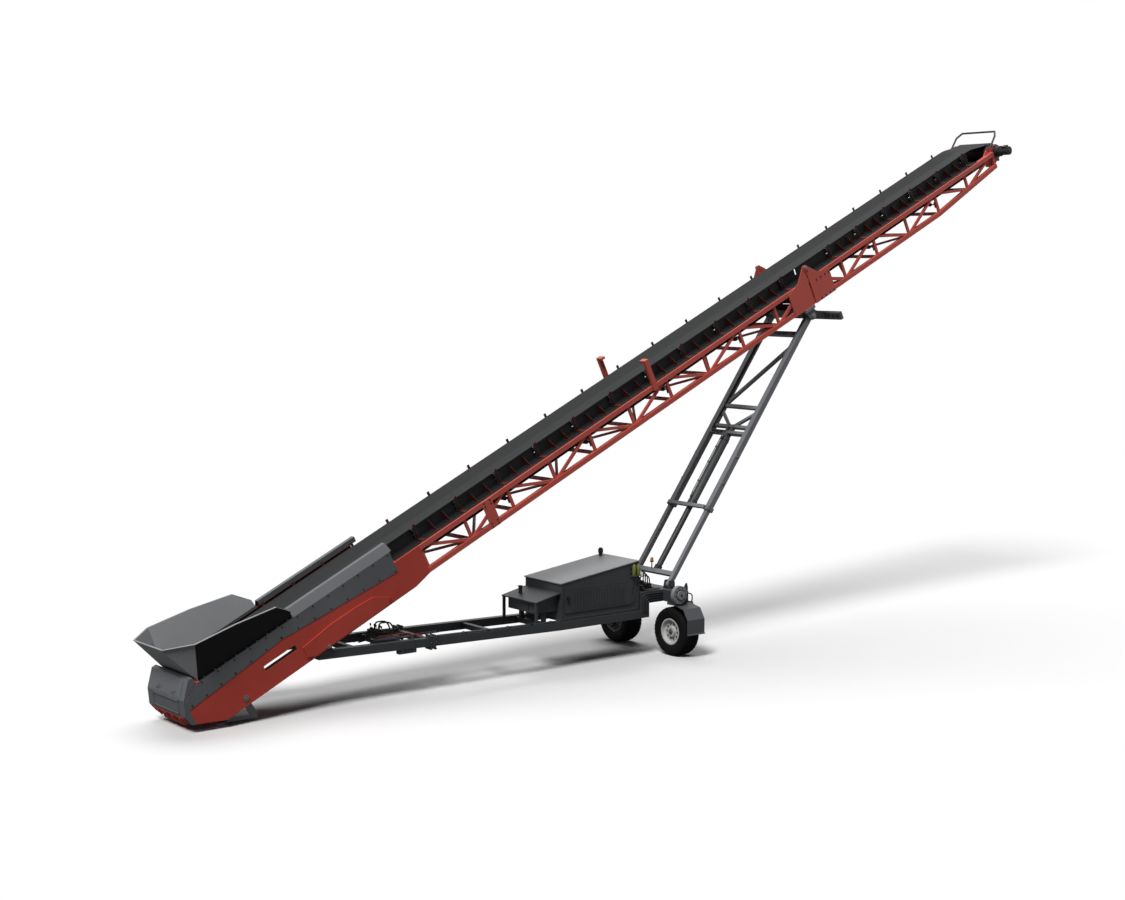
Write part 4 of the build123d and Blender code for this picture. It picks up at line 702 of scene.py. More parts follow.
for name, side in (("near", -1), ("far", 1)):
    at = Matrix.Translation((wheel["x"], side * wheel["y"], wheel["z"]))
    if name == "far":
        at = at @ Matrix.Rotation(pi, 4, "Z")
    carcass = makePiece("tyreCarcass_" + name, tyreCarcass(), "tyre", "wheel_" + name, at, smooth=30)
    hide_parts("tyre_" + name)
    arrayPiece("tyreTread_" + name, tyreLugs(), "tyre", "wheel_" + name, wheel["pitches"],
               turn=(2 * pi / wheel["pitches"], 0, 0), place=at, smooth=25)
    makePiece("wheelNuts_" + name, rimTrim(), "zinc", "wheel_" + name, at)
print("wheels made")


def addStrip(bm, points, outs, reach, rise):
    # lip along a line of points: reach is measured along each out direction, rise is upwards
    corners = ((reach[0], rise[0]), (reach[1], rise[0]), (reach[1], rise[1]), (reach[0], rise[1]))
    joinRings(bm, [[bm.verts.new(Vector(point) + Vector(out) * r + Vector((0, 0, z))) for r, z in corners]
                   for point, out in zip(points, outs)])


def mirrorY(bm):
    made = bmesh.ops.duplicate(bm, geom=bm.verts[:] + bm.edges[:] + bm.faces[:])["geom"]
    for item in made:
        if isinstance(item, bmesh.types.BMVert):
            item.co.y = -item.co.y
    return bm


def faceBand(a, b, span, lift):
    # four (run, height) corners of a plate that lies on the line from a to b of an outline
    length = hypot(b[0] - a[0], b[1] - a[1])
    along = ((b[0] - a[0]) / length, (b[1] - a[1]) / length)
    corners = ((span[0], lift[0]), (span[1], lift[0]), (span[1], lift[1]), (span[0], lift[1]))
    return [(a[0] + along[0] * t - along[1] * h, a[1] + along[1] * t + along[0] * h) for t, h in corners]


hopperTrim = {"rim": [(0.5, 0.55, 1.5), (0.976, 0.950, 1.406), (1.855, 0.903, 1.271), (2.716, 0.836, 1.079),
                      (2.978, 0.739, 0.8)],
              "outs": [(0, 1, 0), (-0.25, 0.97, 0), (0, 1, 0), (0, 1, 0), (0, 1, 0)], "lip": 0.036, "sheet": 0.008,
              "footZ": 0.66, "footY": 0.69, "from": 0.83, "to": 2.972, "shadeSheet": (0.82, 2.978), "sealIn": 0.505,
              "bolts": (0.95, 0.24, 9)}


def makeHopperTrim():
    rim, sheet = hopperTrim["rim"], hopperTrim["sheet"]
    low, foot, inner = hopperTrim["footZ"], hopperTrim["footY"], hopperTrim["sealIn"]
    bm = bmesh.new()
    addStrip(bm, rim, hopperTrim["outs"], (-0.010, hopperTrim["lip"]), (-sheet, -0.0005))
    mirrorY(bm)
    back = rim[0]
    addStrip(bm, [(back[0], -back[1], back[2]), back], [(1, 0, 0)] * 2, (0.0, 0.03), (-0.010, -0.0008))
    makePiece("hopperLip", bm, "hopper", "boom", boomFrame)
    # thin black sheet on the outer face of each hopper side panel: painted shade, where those panels face down away
    # from the light
    bm = bmesh.new()
    start, end = [(u, foot, low + 0.002) for u in hopperTrim["shadeSheet"]]
    line = [start] + [(u, y, w - 0.009) for u, y, w in rim[1:]] + [end]
    shadeSheets = [[bm.verts.new((u, y + gap, w - gap * 0.35)) for u, y, w in line] for gap in (0.0005, 0.003)]
    for shadeSheet in shadeSheets:
        bm.faces.new(shadeSheet)
    for i in range(len(line)):
        bm.faces.new((shadeSheets[0][i - 1], shadeSheets[0][i], shadeSheets[1][i], shadeSheets[1][i - 1]))
    makePiece("hopperSkin", mirrorY(bm), "blackAndShade", "boom", boomFrame)
    # black rubber seal along the belt, with a foot strip under the hopper that is black as painted shade beneath its
    # overhang
    bm = bmesh.new()
    addPrism(bm, [(foot - 0.004, low + 0.004), (inner, low + 0.03), (inner, low + 0.04), (foot - 0.004, low + 0.014)],
             hopperTrim["from"] + 0.04, hopperTrim["to"], "x")
    addBox(bm, (hopperTrim["from"], hopperTrim["to"]), (foot + 0.001, foot + 0.047), (low + 0.0005, low + sheet))
    makePiece("hopperSeal", mirrorY(bm), "blackAndShade", "boom", boomFrame)
    first, pitch, count = hopperTrim["bolts"]
    spots = [((first + pitch * i, foot + 0.026, low + sheet), (0, 0, 1)) for i in range(count)]
    boltPiece("hopperBolts", placed(boomFrame, bothSides(spots)), "boom", 0.024, 0.012)


nose = {"front": ((0.29, 0.21), (0.395, 0.5)), "slope": ((0.395, 0.5), (0.64, 0.79)),
        "low": ((0.345, 0.01), (0.29, 0.21)), "frameHalf": 0.52, "frameSpan": (0.022, 0.285), "bar": 0.03,
        "proud": 0.014, "handles": (-0.3, 0.3), "ribs": (-0.45, -0.15, 0.15, 0.45), "slotRun": (2.0, 2.84),
        "slotHeight": (0.03, 0.115)}


def makeNose():
    bm = bmesh.new()
    half, bar, lift = nose["frameHalf"], nose["bar"], (-0.002, nose["proud"])
    low, high = nose["frameSpan"]
    for span in ((low, low + bar), (high - bar, high)):
        addPrism(bm, faceBand(*nose["front"], span, lift), -half, half)
    for side in (-1, 1):
        addPrism(bm, faceBand(*nose["front"], (low, high), lift), *sorted((side * half, side * (half - bar))))
    addPrism(bm, faceBand(*nose["slope"], (0.03, 0.335), (-0.002, 0.008)), -0.57, 0.57)
    for y in nose["handles"]:
        ends = (y - 0.07, y + 0.07)
        addPipe(bm, [(0.455, ends[0], 0.60), (0.425, ends[0], 0.625), (0.425, ends[1], 0.625), (0.455, ends[1], 0.60)],
                0.009)
    makePiece("noseFrame", bm, "cover", "boom", boomFrame, bevel=0.004)
    bm = bmesh.new()
    addPrism(bm, faceBand(*nose["low"], (-0.004, 0.178), (-0.002, 0.012)), -0.62, 0.62)
    addBox(bm, (0.337, 0.432), (-0.43, 0.43), (-0.068, 0.0))
    for y in nose["ribs"]:
        addPrism(bm, faceBand(*nose["low"], (0.0, 0.15), (0.010, 0.034)), y - 0.012, y + 0.012)
    makePiece("noseBumper", bm, "red", "boom", boomFrame, bevel=0.003)
    # black plate behind the lower part of each side slot: painted shade inside the tail frame
    bm = bmesh.new()
    addBox(bm, nose["slotRun"], (boomLine["half"] - 0.03, boomLine["half"] - 0.009), nose["slotHeight"])
    makePiece("slotStiffener", mirrorY(bm), "blackAndShade", "boom", boomFrame, bevel=0.002)


makeHopperTrim()
makeNose()
print("tail dressed")

boomPins = {"hinge": (3.3896, 0.758, -0.2441, 0.042), "yoke": (1.4784, 0.728, -0.1566, 0.06),
            "fold": (17.78, 0.785, 0.70, 0.046), "legHead": (17.6, 0.754, -0.42, 0.05)}


def makeBoomPins():
    bm = bmesh.new()
    for u, y, w, r in boomPins.values():
        addRod(bm, (u, y, w), (u, y + 0.016, w), r, 24)
        addRod(bm, (u, y + 0.015, w), (u, y + 0.024, w), r * 0.45, 12)
    makePiece("boomPinCaps", mirrorY(bm), "zinc", "boom", boomFrame, bevel=0.003)


stays = {"sheetY": 0.408, "deckZ": 0.418, "reach": 0.235, "top": 0.615, "thick": 0.003,
         "rows": {"main": (6.19, 1.106, 10, "boom"), "head": (18.92, 1.03, 5, "head_section")}}


def makeStays():
    # gussets that hold the belt shields upright, two in each bay
    sheet, deck, top = stays["sheetY"], stays["deckZ"], stays["top"]
    near, far, foot = sheet - 0.002, sheet + stays["reach"], deck - 0.002
    for row, (first, pitch, count, body) in stays["rows"].items():
        bm = bmesh.new()
        for share in (1 / 3, 2 / 3):
            u = pitch * share
            addPrism(bm, [(near, foot), (far, foot), (sheet + 0.03, top), (near, top)],
                     u - stays["thick"], u + stays["thick"], "x")
            addBox(bm, (u - 0.03, u + 0.03), (sheet + 0.05, far), (deck - 0.001, deck + 0.006))
        # the stays take the shaded copy of the red paint
        arrayPiece("shieldStays_" + row, mirrorY(bm), "idlerFrameShadedRed", body, count, (first, 0, 0),
                   (pitch, 0, 0), place=boomFrame)


lips = {"y": (0.406, 0.413), "w": (0.60, 0.661), "gap": 0.06, "plateY": (0.468, 0.474), "plateW": (0.425, 0.64),
        "plateHalf": 0.068, "ends": {"main": (5.42, 17.76), "head": (17.80, 24.30)}}


def makeLips():
    # rubber strips that close the gap between the shields and the belt
    for row, (start, end) in lips["ends"].items():
        first, pitch, count, half, body = idler["rows"][row]
        runs = [first + pitch * i for i in range(count)]
        starts = [start] + [u + lips["gap"] for u in runs]
        stops = [u - lips["gap"] for u in runs] + [end]
        bm = bmesh.new()
        for a, b in zip(starts, stops):
            addBox(bm, (a, b), lips["y"], lips["w"])
        for u in runs:
            addBox(bm, (u - lips["plateHalf"], u + lips["plateHalf"]), lips["plateY"], lips["plateW"])
        makePiece("shieldLips_" + row, mirrorY(bm), "blackAndShade", body, boomFrame)


boomBolts = {"cover": [(0.50, 0.335), (1.5, 0.385), (2.6, 0.455), (5.30, 0.255)], "coverPitch": 0.38,
             "rail": ((0.85, 0, 0), (5.28, 0, 0), 13), "railHeight": 0.625,
             "splice": [(u, w) for u in (7.70, 7.855) for w in (-0.165, -0.085, 0.29, 0.37)],
             "fold": [(u, w) for u in (18.0, 18.15, 18.3, 18.43) for w in (-0.16, 0.30)],
             "bearing": [(24.70, 0.37), (24.70, 0.17), (24.84, 0.10), (24.85, 0.48)], "bearingFace": 0.63}


def makeBoomBolts():
    face = boomLine["half"]

    def outward(y, spots):
        return [((u, y, w), (0, 1, 0)) for u, w in spots]

    spots = []
    for (u0, w0), (u1, w1) in zip(boomBolts["cover"], boomBolts["cover"][1:]):
        steps = max(2, round((u1 - u0) / boomBolts["coverPitch"]))
        spots += outward(face + 0.008, [(p.x, p.z) for p in rowOf((u0, 0, w0), (u1, 0, w1), steps + 1)])
    spots += outward(face + 0.008, [(p.x, boomBolts["railHeight"]) for p in rowOf(*boomBolts["rail"])])
    spots += outward(face + 0.012, boomBolts["splice"])
    boltPiece("boomBolts", placed(boomFrame, bothSides(spots)), "boom", 0.024, 0.012, "sleeve")
    spots = outward(face + 0.036, boomBolts["fold"]) + outward(boomBolts["bearingFace"], boomBolts["bearing"])
    boltPiece("headBolts", placed(boomFrame, bothSides(spots)), "head_section", 0.03, 0.014, "sleeve")


makeBoomPins()
makeStays()
makeLips()
makeBoomBolts()

lamps = {"run": 18.249, "height": -0.70, "lensR": 0.046, "rimR": 0.055,
         "looks": {0.91: "lensRed", 0.77: "lensAmber", 0.63: "lensClear"}}


def makeLamps():
    for y, look in lamps["looks"].items():
        bm = bmesh.new()
        for side in (-1, 1):
            place = Matrix.Translation((lamps["run"], side * y, lamps["height"]))
            addTurned(bm, [(0.0, 0.001), (0.0, lamps["lensR"]), (0.006, lamps["lensR"]), (0.011, lamps["lensR"] * 0.75),
                           (0.013, lamps["lensR"] * 0.4), (0.0135, 0.001)], 28, place)
        makePiece("lampLens" + look[4:], bm, look, "boom", boomFrame)
    bm = bmesh.new()
    for y in lamps["looks"]:
        for side in (-1, 1):
            addRing(bm, (0.0, 0.008), lamps["lensR"] + 0.001, lamps["rimR"], 28,
                    Matrix.Translation((lamps["run"], side * y, lamps["height"])))
    for y in lamps["looks"]:
        for side in (-1, 1):
            addBox(bm, (lamps["run"] - 0.109, lamps["run"] - 0.103), (side * y - 0.03, side * y + 0.03), (-0.73, -0.67))
    makePiece("lampBezels", bm, "blackAndShade", "boom", boomFrame)


makeLamps()

headEnd = {"pulley": (25.1, 0.345), "motorY": (-0.80, -1.05), "motorEnd": -1.059, "finR": 0.104, "fins": 10,
           "flangeY": -0.655, "flangeBolts": (0.145, 8), "scraper": (25.17, 0.098), "half": 0.585, "armOut": 0.601,
           "bladeHalf": 0.45}


def makeHeadEnd():
    u, w = headEnd["pulley"]
    y0, y1 = headEnd["motorY"]
    end, flange = headEnd["motorEnd"], headEnd["flangeY"]
    bm = bmesh.new()
    addRing(bm, (-0.004, 0.004), 0.094, headEnd["finR"], 28, Matrix.Rotation(pi / 2, 4, "Z"))
    arrayPiece("motorFins", bm, "iron", "head_section", headEnd["fins"], (u, y0, w),
               (0, (y1 - y0) / (headEnd["fins"] - 1), 0), place=boomFrame)
    bm = bmesh.new()
    addRod(bm, (u, end, w), (u, end - 0.026, w), 0.05, 20)
    addRod(bm, (u, flange + 0.015, w), (u, flange, w), 0.16, 28)
    addBox(bm, (u - 0.055, u + 0.055), (-1.0, -0.89), (w + 0.124, w + 0.134))
    makePiece("motorTrim", bm, "iron", "head_section", boomFrame, bevel=0.003)
    ring = boltRing(u, w, flange, *headEnd["flangeBolts"], -1)
    boltPiece("motorBolts", placed(boomFrame, ring), "head_section", 0.022, 0.012)
    bm = bmesh.new()
    su, sw = headEnd["scraper"]
    half = headEnd["half"]
    addRod(bm, (su, -half, sw), (su, half, sw), 0.022, 16)
    for side in (-1, 1):
        addBox(bm, (su - 0.04, su + 0.02), sorted((side * half, side * headEnd["armOut"])), (sw - 0.03, sw + 0.11))
    addPrism(bm, [(su - 0.004, sw + 0.01), (su + 0.006, sw + 0.01), (su + 0.012, sw + 0.046), (su + 0.006, sw + 0.046)],
             -headEnd["bladeHalf"], headEnd["bladeHalf"])
    makePiece("beltScraper", bm, "roller", "head_section", boomFrame, bevel=0.002)
    bm = bmesh.new()
    addRod(bm, (u, 0.629, w), (u, 0.668, w), 0.09, 24)
    addRod(bm, (u, 0.667, w), (u, 0.684, w), 0.05, 20)
    makePiece("headBearingCap", bm, "charcoal", "head_section", boomFrame, bevel=0.004)


makeHeadEnd()
print("boom dressed")

leg = {"y": 0.6, "outer": 0.065, "collar": (1.885, 1.985), "collarOut": 0.084, "collarBolts": (1.91, 1.96),
       "stops": (2.6, 3.3), "barrel": (2.0, 3.76), "barrelR": 0.095, "rodR": 0.066, "pipeR": 0.011,
       "pipeClips": (0.55, 1.05, 1.45), "bars": (3.85, 4.55, 6.56), "length": 7.1424, "beacon": (10.56, 0.125, 1.88)}


def makeLeg():
    bm = bmesh.new()
    mid, near, far = leg["y"], leg["outer"] - 0.001, leg["collarOut"]
    for a, b in ((mid + near, mid + far), (mid - far, mid - near)):
        addBox(bm, leg["collar"], (a, b), (-far, far))
    for a, b in ((near, far), (-far, -near)):
        addBox(bm, leg["collar"], (mid - far + 0.001, mid + far - 0.001), (a, b))
    for s in leg["stops"]:
        addBox(bm, (s - 0.02, s + 0.02), (mid + near, mid + near + 0.03), (0.02, 0.05))
    makePiece("legCollars", mirrorY(bm), "legGrey", "leg_upper", legFrame, bevel=0.003)
    spots = [((s, mid + far, n), (0, 1, 0)) for s in leg["collarBolts"] for n in (-0.05, 0.05)]
    spots += [((s, mid + t, far), (0, 0, 1)) for s in leg["collarBolts"] for t in (-0.05, 0.05)]
    boltPiece("legBolts", placed(legFrame, bothSides(spots)), "leg_upper", 0.022, 0.011)
    bm = bmesh.new()
    low, high = leg["barrel"]
    r, pipeR = leg["barrelR"], leg["pipeR"]
    addRing(bm, (low - 0.012, low + 0.075), leg["rodR"] + 0.008, r + 0.010, 32)
    for s in (low + 0.075, high - 0.09):
        addRing(bm, (s, s + 0.022), r - 0.002, r + 0.008, 32)
    for s in (low + 0.14, high - 0.06):
        addBox(bm, (s - 0.028, s + 0.028), (-0.028, 0.028), (r - 0.01, r + 0.032))
    makePiece("ramGland", bm, "sleeve", "leg_upper", legFrame, bevel=0.002)
    bm = bmesh.new()
    n = r + 0.026
    addPipe(bm, [(low + 0.165, 0.012, n), (low + 0.30, 0.03, n), (high - 0.2, 0.03, n), (high + 0.10, 0.03, n)], pipeR)
    addPipe(bm, [(high - 0.034, -0.012, n), (high + 0.02, -0.03, n), (high + 0.10, -0.03, n)], pipeR)
    for s in leg["pipeClips"]:
        addBox(bm, (low + s - 0.012, low + s + 0.012), (0.012, 0.048), (r - 0.008, n + pipeR + 0.003))
    makePiece("ramPipes", bm, "zinc", "leg_upper", legFrame)
    bm = bmesh.new()
    rest = mid - near - 0.014
    for start, height in ((0.03, 0.04), (0.055, 0.012)):
        first = leg["bars"][0] + start
        along = [(s, rest, height) for s in (*leg["bars"][1:], leg["length"] - 0.3)]
        addPipe(bm, [(first, 0.05, 0.078), (first, rest, 0.078)] + along, pipeR, bend=0.08)
    makePiece("legPipes", bm, "blackAndShade", "leg_upper", legFrame)
    bm = bmesh.new()
    x, y, z = leg["beacon"]
    addRod(bm, (x, y, z - 0.15), (x, y, z + 0.004), 0.013, 12)
    addTurned(bm, [(0, 0.001), (0, 0.044), (0.018, 0.044), (0.018, 0.001)], 24, upright(x, y, z))
    makePiece("beaconFoot", bm, "blackAndShade", "leg_lower")
    bm = bmesh.new()
    addTurned(bm, [(0, 0.001), (0, 0.038), (0.065, 0.033), (0.088, 0.018), (0.092, 0.001)], 24,
              upright(x, y, z + 0.017))
    makePiece("beacon", bm, "lensAmber", "leg_lower")


makeLeg()

axle = {"x": 10.35, "half": 1.15, "kingpinY": 0.95, "capZ": 1.449, "case": (10.19, 1.365), "caseFace": 1.24,
        "caseBolts": (0.155, 10), "horn": [(10.345, 1.41), (10.5, 1.41), (10.5, 1.50), (10.475, 1.585), (10.44, 1.585)],
        "handle": (10.46, 0.17, 1.195, 1.375), "strip": ((10.19, 10.51), (1.165, 1.19)), "legPin": (10.43, 1.485),
        "pinFace": 0.704}


def makeAxle():
    caseX, caseZ = axle["case"]
    caseFace, face, pin = axle["caseFace"], axle["half"], axle["pinFace"]
    ring = boltRing(caseX, caseZ, caseFace, *axle["caseBolts"], 1)
    boltPiece("gearCaseBolts", bothSides(ring), "chassis", 0.026, 0.013)
    bm = bmesh.new()
    addPrism(bm, axle["horn"], face - 0.03, face - 0.012)
    x, out, low, high = axle["handle"]
    addPipe(bm, [(x, face - 0.01, high), (x, face + out, high), (x, face + out, low), (x, face - 0.01, low)],
            0.015, 10, 0.07)
    addRing(bm, (0, 0.014), 0.096, 0.118, 32,
            Matrix.Translation((caseX, caseFace - 0.001, caseZ)) @ Matrix.Rotation(pi / 2, 4, "Z"))
    addRod(bm, (caseX, caseFace + 0.039, caseZ), (caseX, caseFace + 0.052, caseZ), 0.03, 6)
    stripX, stripZ = axle["strip"]
    addBox(bm, stripX, (face - 0.004, face + 0.008), stripZ)
    x, z = axle["legPin"]
    addRod(bm, (x, pin, z), (x, pin + 0.012, z), 0.05, 24)
    addBox(bm, (x - 0.09, x + 0.09), (pin - 0.02, pin - 0.01), (z - 0.06, z - 0.035))
    makePiece("axleEnds", mirrorY(bm), "charcoal", "chassis", bevel=0.003)
    for name, side in (("near", -1), ("far", 1)):
        bm = bmesh.new()
        x, y, z = axle["x"], side * axle["kingpinY"], axle["capZ"]
        addRod(bm, (x, y, z), (x, y, z + 0.016), 0.085, 28)
        addRod(bm, (x, y, z + 0.015), (x, y, z + 0.036), 0.045, 6)
        makePiece("kingpinCap_" + name, bm, "zinc", "carrier_" + name, bevel=0.003)


makeAxle()

rear = {"deck": 1.41, "plate": ((9.58, 10.2), (-0.53, 0.53)),
        "blocks": [((9.66, 9.86), (-0.44, -0.12), 0.20), ((9.70, 9.84), (-0.05, 0.30), 0.15),
                   ((9.93, 10.10), (-0.40, -0.2), 0.11)],
        "canX": 9.97, "canY": (-0.08, 0.10, 0.28), "canR": 0.055,
        "pipes": (-0.42, -0.34, -0.26, -0.18), "pipeX": (9.76, 9.99, 10.02),
        "sideY": (-0.56, -0.62), "sideLine": [(9.57, 1.55), (9.66, 1.55), (9.72, 1.43), (10.16, 1.43)],
        "stepY": -0.687, "steps": 4, "step": (9.62, 1.36), "stepEnd": (10.16, 0.98),
        "canisters": (9.36, 9.48), "canisterAt": (-0.688, 1.80),
        "canister": [(0, 0.001), (0, 0.034), (0.012, 0.04), (0.20, 0.04), (0.222, 0.030), (0.235, 0.014),
                     (0.25, 0.012), (0.25, 0.001)],
        "rackX": (9.30, 9.54), "rackY": (-0.735, -0.62), "rackRails": (1.86, 1.97)}


def makeRear():
    # pump manifold, filters and pipes between the pack and the axle
    deck = rear["deck"]
    bm = bmesh.new()
    addBox(bm, *rear["plate"], (deck - 0.03, deck - 0.018))
    for x, y, tall in rear["blocks"]:
        addBox(bm, x, y, (deck - 0.02, deck + tall))
    for y in rear["canY"]:
        for low, high, radius in ((-0.02, 0.22, rear["canR"]), (0.21, 0.26, rear["canR"] * 0.75)):
            addRod(bm, (rear["canX"], y, deck + low), (rear["canX"], y, deck + high), radius, 20)
    makePiece("rearManifold", bm, "blackAndShade", "chassis", bevel=0.006)
    bm = bmesh.new()
    rise, over, drop = rear["pipeX"]
    for i, y in enumerate(rear["pipes"]):
        top = deck + 0.30 + 0.03 * i
        addPipe(bm, [(rise, y, deck + 0.19), (rise, y, top), (over + 0.02 * i, y - 0.02, top),
                     (drop, y - 0.02, deck + 0.05)], 0.014, 8, 0.09)
    for y in rear["sideY"]:
        addPipe(bm, [(x, y, z) for x, z in rear["sideLine"]], 0.013, 8, 0.06)
    y, (endX, footZ) = rear["stepY"], rear["stepEnd"]
    for i in range(rear["steps"]):
        x, z = rear["step"][0] + 0.045 * i, rear["step"][1] - 0.05 * i
        addPipe(bm, [(x, y, footZ), (x, y, z), (endX, y, z)], 0.013, 8, 0.08)
    makePiece("rearPipes", bm, "sleeve", "chassis")
    bm = bmesh.new()
    for x in rear["canisters"]:
        addTurned(bm, rear["canister"], 24, upright(x, *rear["canisterAt"]))
    makePiece("canisters", bm, "olive", "chassis")
    bm = bmesh.new()
    (x0, x1), wall, shelf = rear["rackX"], rear["rackY"][1], rear["canisterAt"][1]
    addBox(bm, (x0, x1), rear["rackY"], (shelf - 0.015, shelf - 0.003))
    addBox(bm, (x0, x1), (wall - 0.012, wall), (shelf - 0.06, shelf))
    for z in rear["rackRails"]:
        addBox(bm, (x0 + 0.01, x1 - 0.01), (wall - 0.032, wall), (z, z + 0.02))
    makePiece("canisterRack", bm, "charcoal", "chassis", bevel=0.002)


makeRear()

pack = {"doorY": -0.642, "latch": (7.60, 1.50), "doorX": (7.53, 9.33), "doorZ": (1.19, 1.69), "bead": 0.015,
        "half": 0.62, "floor": 1.10, "wallTop": 1.80, "corners": (7.444, 9.53), "cornerWide": 0.026,
        "hood": (7.44, 1.8198, 0.1335), "hoodBolts": (7.56, 0.31, 7), "cap": (7.06, 0.30, 1.674),
        "capProfile": [(0, 0.001), (0, 0.05), (0.006, 0.054), (0.022, 0.054), (0.028, 0.046), (0.028, 0.001)],
        "gauge": ((6.868, 6.872), (-0.25, -0.21), (1.27, 1.43))}


def makePack():
    bm = bmesh.new()
    x, z = pack["latch"]
    face, half, floor = pack["doorY"], pack["half"], pack["floor"]
    addRod(bm, (x, face + 0.002, z), (x, face - 0.016, z), 0.045, 28)
    addRod(bm, (x, face - 0.015, z), (x, face - 0.026, z), 0.026, 20)
    addBox(bm, (x - 0.014, x + 0.014), (face - 0.034, face - 0.018), (z - 0.13, z + 0.02))
    makePiece("doorLatch", bm, "blackAndShade", "pack_door", bevel=0.003)
    bm = bmesh.new()
    (x0, x1), (z0, z1), bead = pack["doorX"], pack["doorZ"], pack["bead"]
    proud = (face - 0.004, face + 0.001)
    for x in (x0, x1 - bead):
        addBox(bm, (x, x + bead), proud, (z0, z1))
    for z in (z0, z1 - bead):
        addBox(bm, (x0 + bead, x1 - bead), proud, (z, z + bead))
    makePiece("doorBeads", bm, "charcoal", "pack_door")
    bm = bmesh.new()
    (x0, x1), wide = pack["corners"], pack["cornerWide"]
    for x in (x0, x1):
        addBox(bm, (x, x + wide), (half - 0.001, half + 0.010), (floor + 0.01, pack["wallTop"]))
    addBox(bm, (x0 + wide, x1), (half - 0.001, half + 0.012), (floor - 0.06, floor - 0.02))
    makePiece("packBeads", mirrorY(bm), "charcoal", "chassis", bevel=0.002)
    hoodX, hoodZ, slope = pack["hood"]
    first, pitch, count = pack["hoodBolts"]
    runs = [first + pitch * i for i in range(count)]
    spots = [((x, -half - 0.020, hoodZ + (x - hoodX) * slope), (0, -1, 0)) for x in runs]
    boltPiece("hoodBolts", bothSides(spots), "chassis", 0.016, 0.008)
    bm = bmesh.new()
    addTurned(bm, pack["capProfile"], 28, upright(*pack["cap"]))
    addBox(bm, *pack["gauge"])
    makePiece("tankTrim", bm, "blackAndShade", "chassis", bevel=0.002)


makePack()

drawbar = {"front": (1.58, 1.16), "level": (7.4, 1.02), "valveX": 3.3, "levers": (-0.2, -0.1, 0.0, 0.1, 0.2),
           "sections": 6, "section": (-0.25, 0.1), "loops": (0.02, 0.16), "ramY": -0.44, "ramTop": 1.19,
           "ram": [((2.95, 1.155), (3.50, 1.144), 0.052), ((3.49, 1.144), (3.82, 1.138), 0.026)],
           "ramFeet": ((2.90, 2.98), (3.43, 3.52), (3.79, 3.85)),
           "redPipe": [(2.99, -0.44, 1.21), (3.05, -0.44, 1.228), (3.72, -0.44, 1.213), (4.06, -0.5, 1.12)],
           "block": ((3.40, 3.80), (-0.66, -0.54), (0.855, 0.955)), "straps": ((3.45, 1.12), (3.72, 1.115)),
           "clampX": (4.12, 4.24), "clampY": (0.50, 0.70), "clampZ": (0.86, 1.155), "clampBolts": (0.88, 1.135),
           "midBolt": 1.01, "pipesY": (-0.555, -0.59, -0.625), "pipesX": (4.30, 7.38, 7.43), "clips": (5.0, 7.2, 5)}


def beamTop(x):
    (x0, z0), (x1, z1) = drawbar["front"], drawbar["level"]
    return z0 + (z1 - z0) * min((x - x0) / (x1 - x0), 1)


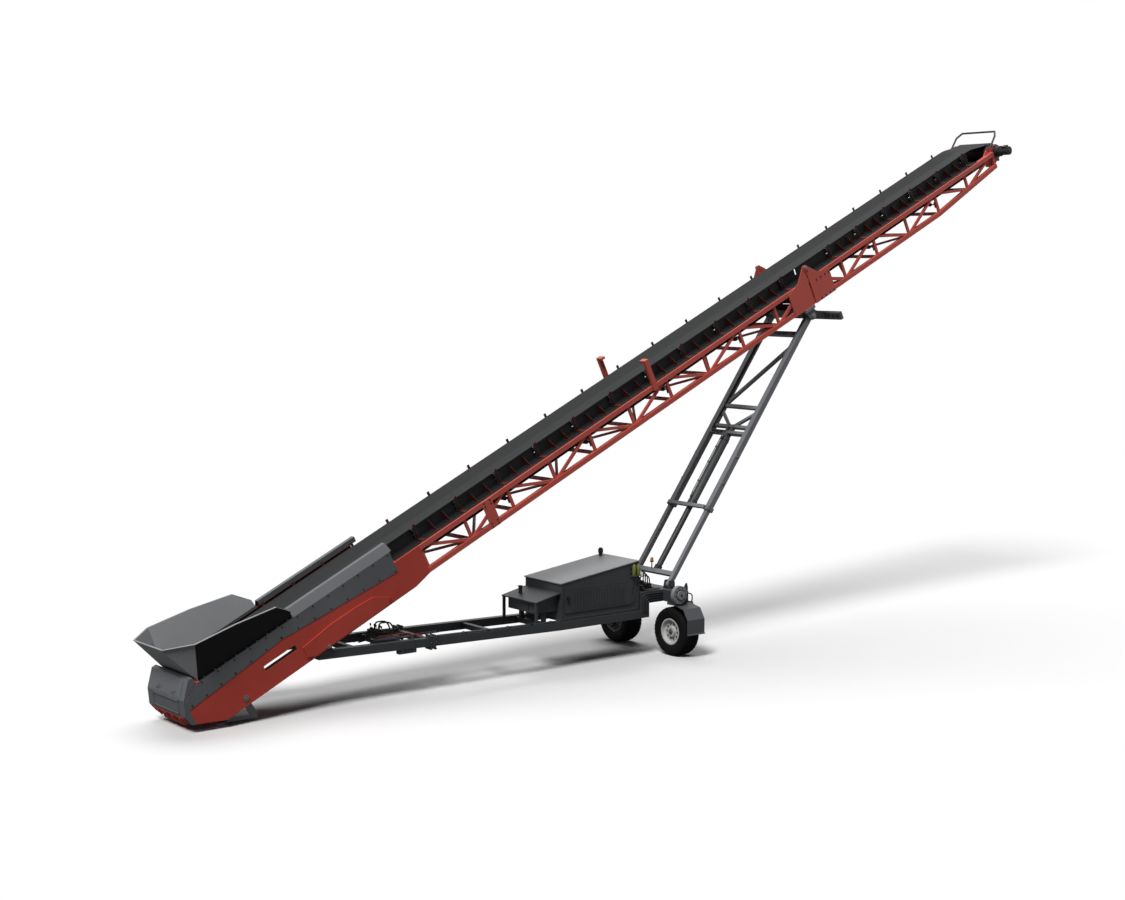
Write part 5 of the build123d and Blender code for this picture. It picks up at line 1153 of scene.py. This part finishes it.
def makeDrawbar():
    bm = bmesh.new()
    x, beam = drawbar["valveX"], beamTop(drawbar["valveX"])
    top, port, low = beam + 0.125, beam + 0.075, beam + 0.02
    first, pitch = drawbar["section"]
    for i in range(drawbar["sections"]):
        y = first + pitch * i
        addBox(bm, (x - 0.066, x + 0.066), (y - 0.006, y + 0.006), (top - 0.115, top + 0.006))
    for y in drawbar["levers"]:
        addBox(bm, (x - 0.03, x + 0.03), (y - 0.02, y + 0.02), (top - 0.001, top + 0.035))
        for side in (-1, 1):
            addRod(bm, (x + side * 0.058, y, port), (x + side * 0.10, y, port), 0.02, 6)
    makePiece("valveSections", bm, "iron", "chassis", bevel=0.002)
    bm = bmesh.new()
    for i, y in enumerate(drawbar["levers"]):
        tip = x + 0.03 * (i % 2) - 0.02
        addRod(bm, (x, y, top + 0.03), (tip, y, top + 0.09), 0.007, 8)
        addRod(bm, (tip, y, top + 0.08), (tip, y, top + 0.12), 0.017, 12)
    for i, y in enumerate(drawbar["levers"]):
        out, lane = 0.20 + 0.05 * i, -0.42 + 0.03 * i
        addPipe(bm, [(x + 0.09, y, port), (x + out, y, port), (x + out, y - 0.02, low), (x + out + 0.25, lane, low),
                     (x + 1.2, lane, low)], 0.012, 8, 0.06)
        addPipe(bm, [(x - 0.09, y, port), (x - out, y, port + 0.03 * (i % 2)), (x - out - 0.1, y, low),
                     (x - out - 0.35, y, low - 0.03)], 0.012, 8, 0.06)
    for y in drawbar["loops"]:
        addPipe(bm, [(x + 0.05, y, top - 0.01), (x + 0.07, y, top + 0.14), (x + 0.34, y, top + 0.13),
                     (x + 0.44, y, beam + 0.01)], 0.016, 8, 0.1)
    makePiece("valveLevers", bm, "blackAndShade", "chassis")
    bm = bmesh.new()
    y = drawbar["ramY"]
    for a, b, r in drawbar["ram"]:
        addRod(bm, (a[0], y, a[1]), (b[0], y, b[1]), r, 24)
    for x0, x1 in drawbar["ramFeet"]:
        addBox(bm, (x0, x1), (y - 0.06, y + 0.06), (beamTop(x0) - 0.05, drawbar["ramTop"]))
    makePiece("drawbarRam", bm, "ram", "chassis", bevel=0.003)
    bm = bmesh.new()
    addPipe(bm, drawbar["redPipe"], 0.013, 8, 0.05)
    makePiece("drawbarPipeRed", bm, "red", "chassis")
    bm = bmesh.new()
    (x0, x1), (inner, outer), (z0, z1) = drawbar["clampX"], drawbar["clampY"], drawbar["clampZ"]
    boltIn, boltOut = inner + 0.01, outer - 0.01
    addBox(bm, *drawbar["block"])
    for strapX, strapTop in drawbar["straps"]:
        addBox(bm, (strapX, strapX + 0.03), (-boltOut, -boltIn), (z0 + 0.01, strapTop))
    for side in (-1, 1):
        for x in (x0, x1 - 0.025):
            addBox(bm, (x, x + 0.025), sorted((side * inner, side * outer)), (z0, z1))
        addBox(bm, (x0 + 0.01, x1 - 0.01), sorted((side * (outer - 0.026), side * boltOut)), (z0 + 0.03, z1 - 0.025))
    makePiece("drawbarClamps", bm, "charcoal", "chassis", bevel=0.003)
    ends = ((x0, -1), (x1, 1))
    spots = [((x, y, drawbar["midBolt"]), (face, 0, 0)) for x, face in ends for y in (-boltOut, boltOut)]
    spots += [((x, y, z), (face, 0, 0)) for x, face in ends for y in (-boltOut, -boltIn, boltIn, boltOut)
              for z in drawbar["clampBolts"]]
    boltPiece("clampBolts", spots, "chassis", 0.024, 0.014)
    bm = bmesh.new()
    start, last, end = drawbar["pipesX"]
    for y in drawbar["pipesY"]:
        addPipe(bm, [(x, y, beamTop(x) + 0.013) for x in (start, last)] + [(end, y, beamTop(end) + 0.05)], 0.012, 8)
    makePiece("beamPipes", bm, "sleeve", "chassis")
    bm = bmesh.new()
    addBox(bm, (-0.02, 0.02), (-0.65, -0.53), (0.0, 0.030))
    first, last, count = drawbar["clips"]
    step = (last - first) / (count - 1)
    arrayPiece("pipeClips", bm, "blackAndShade", "chassis", count, (first, 0, beamTop(first)),
               (step, 0, beamTop(first + step) - beamTop(first)))


makeDrawbar()
print("chassis dressed")
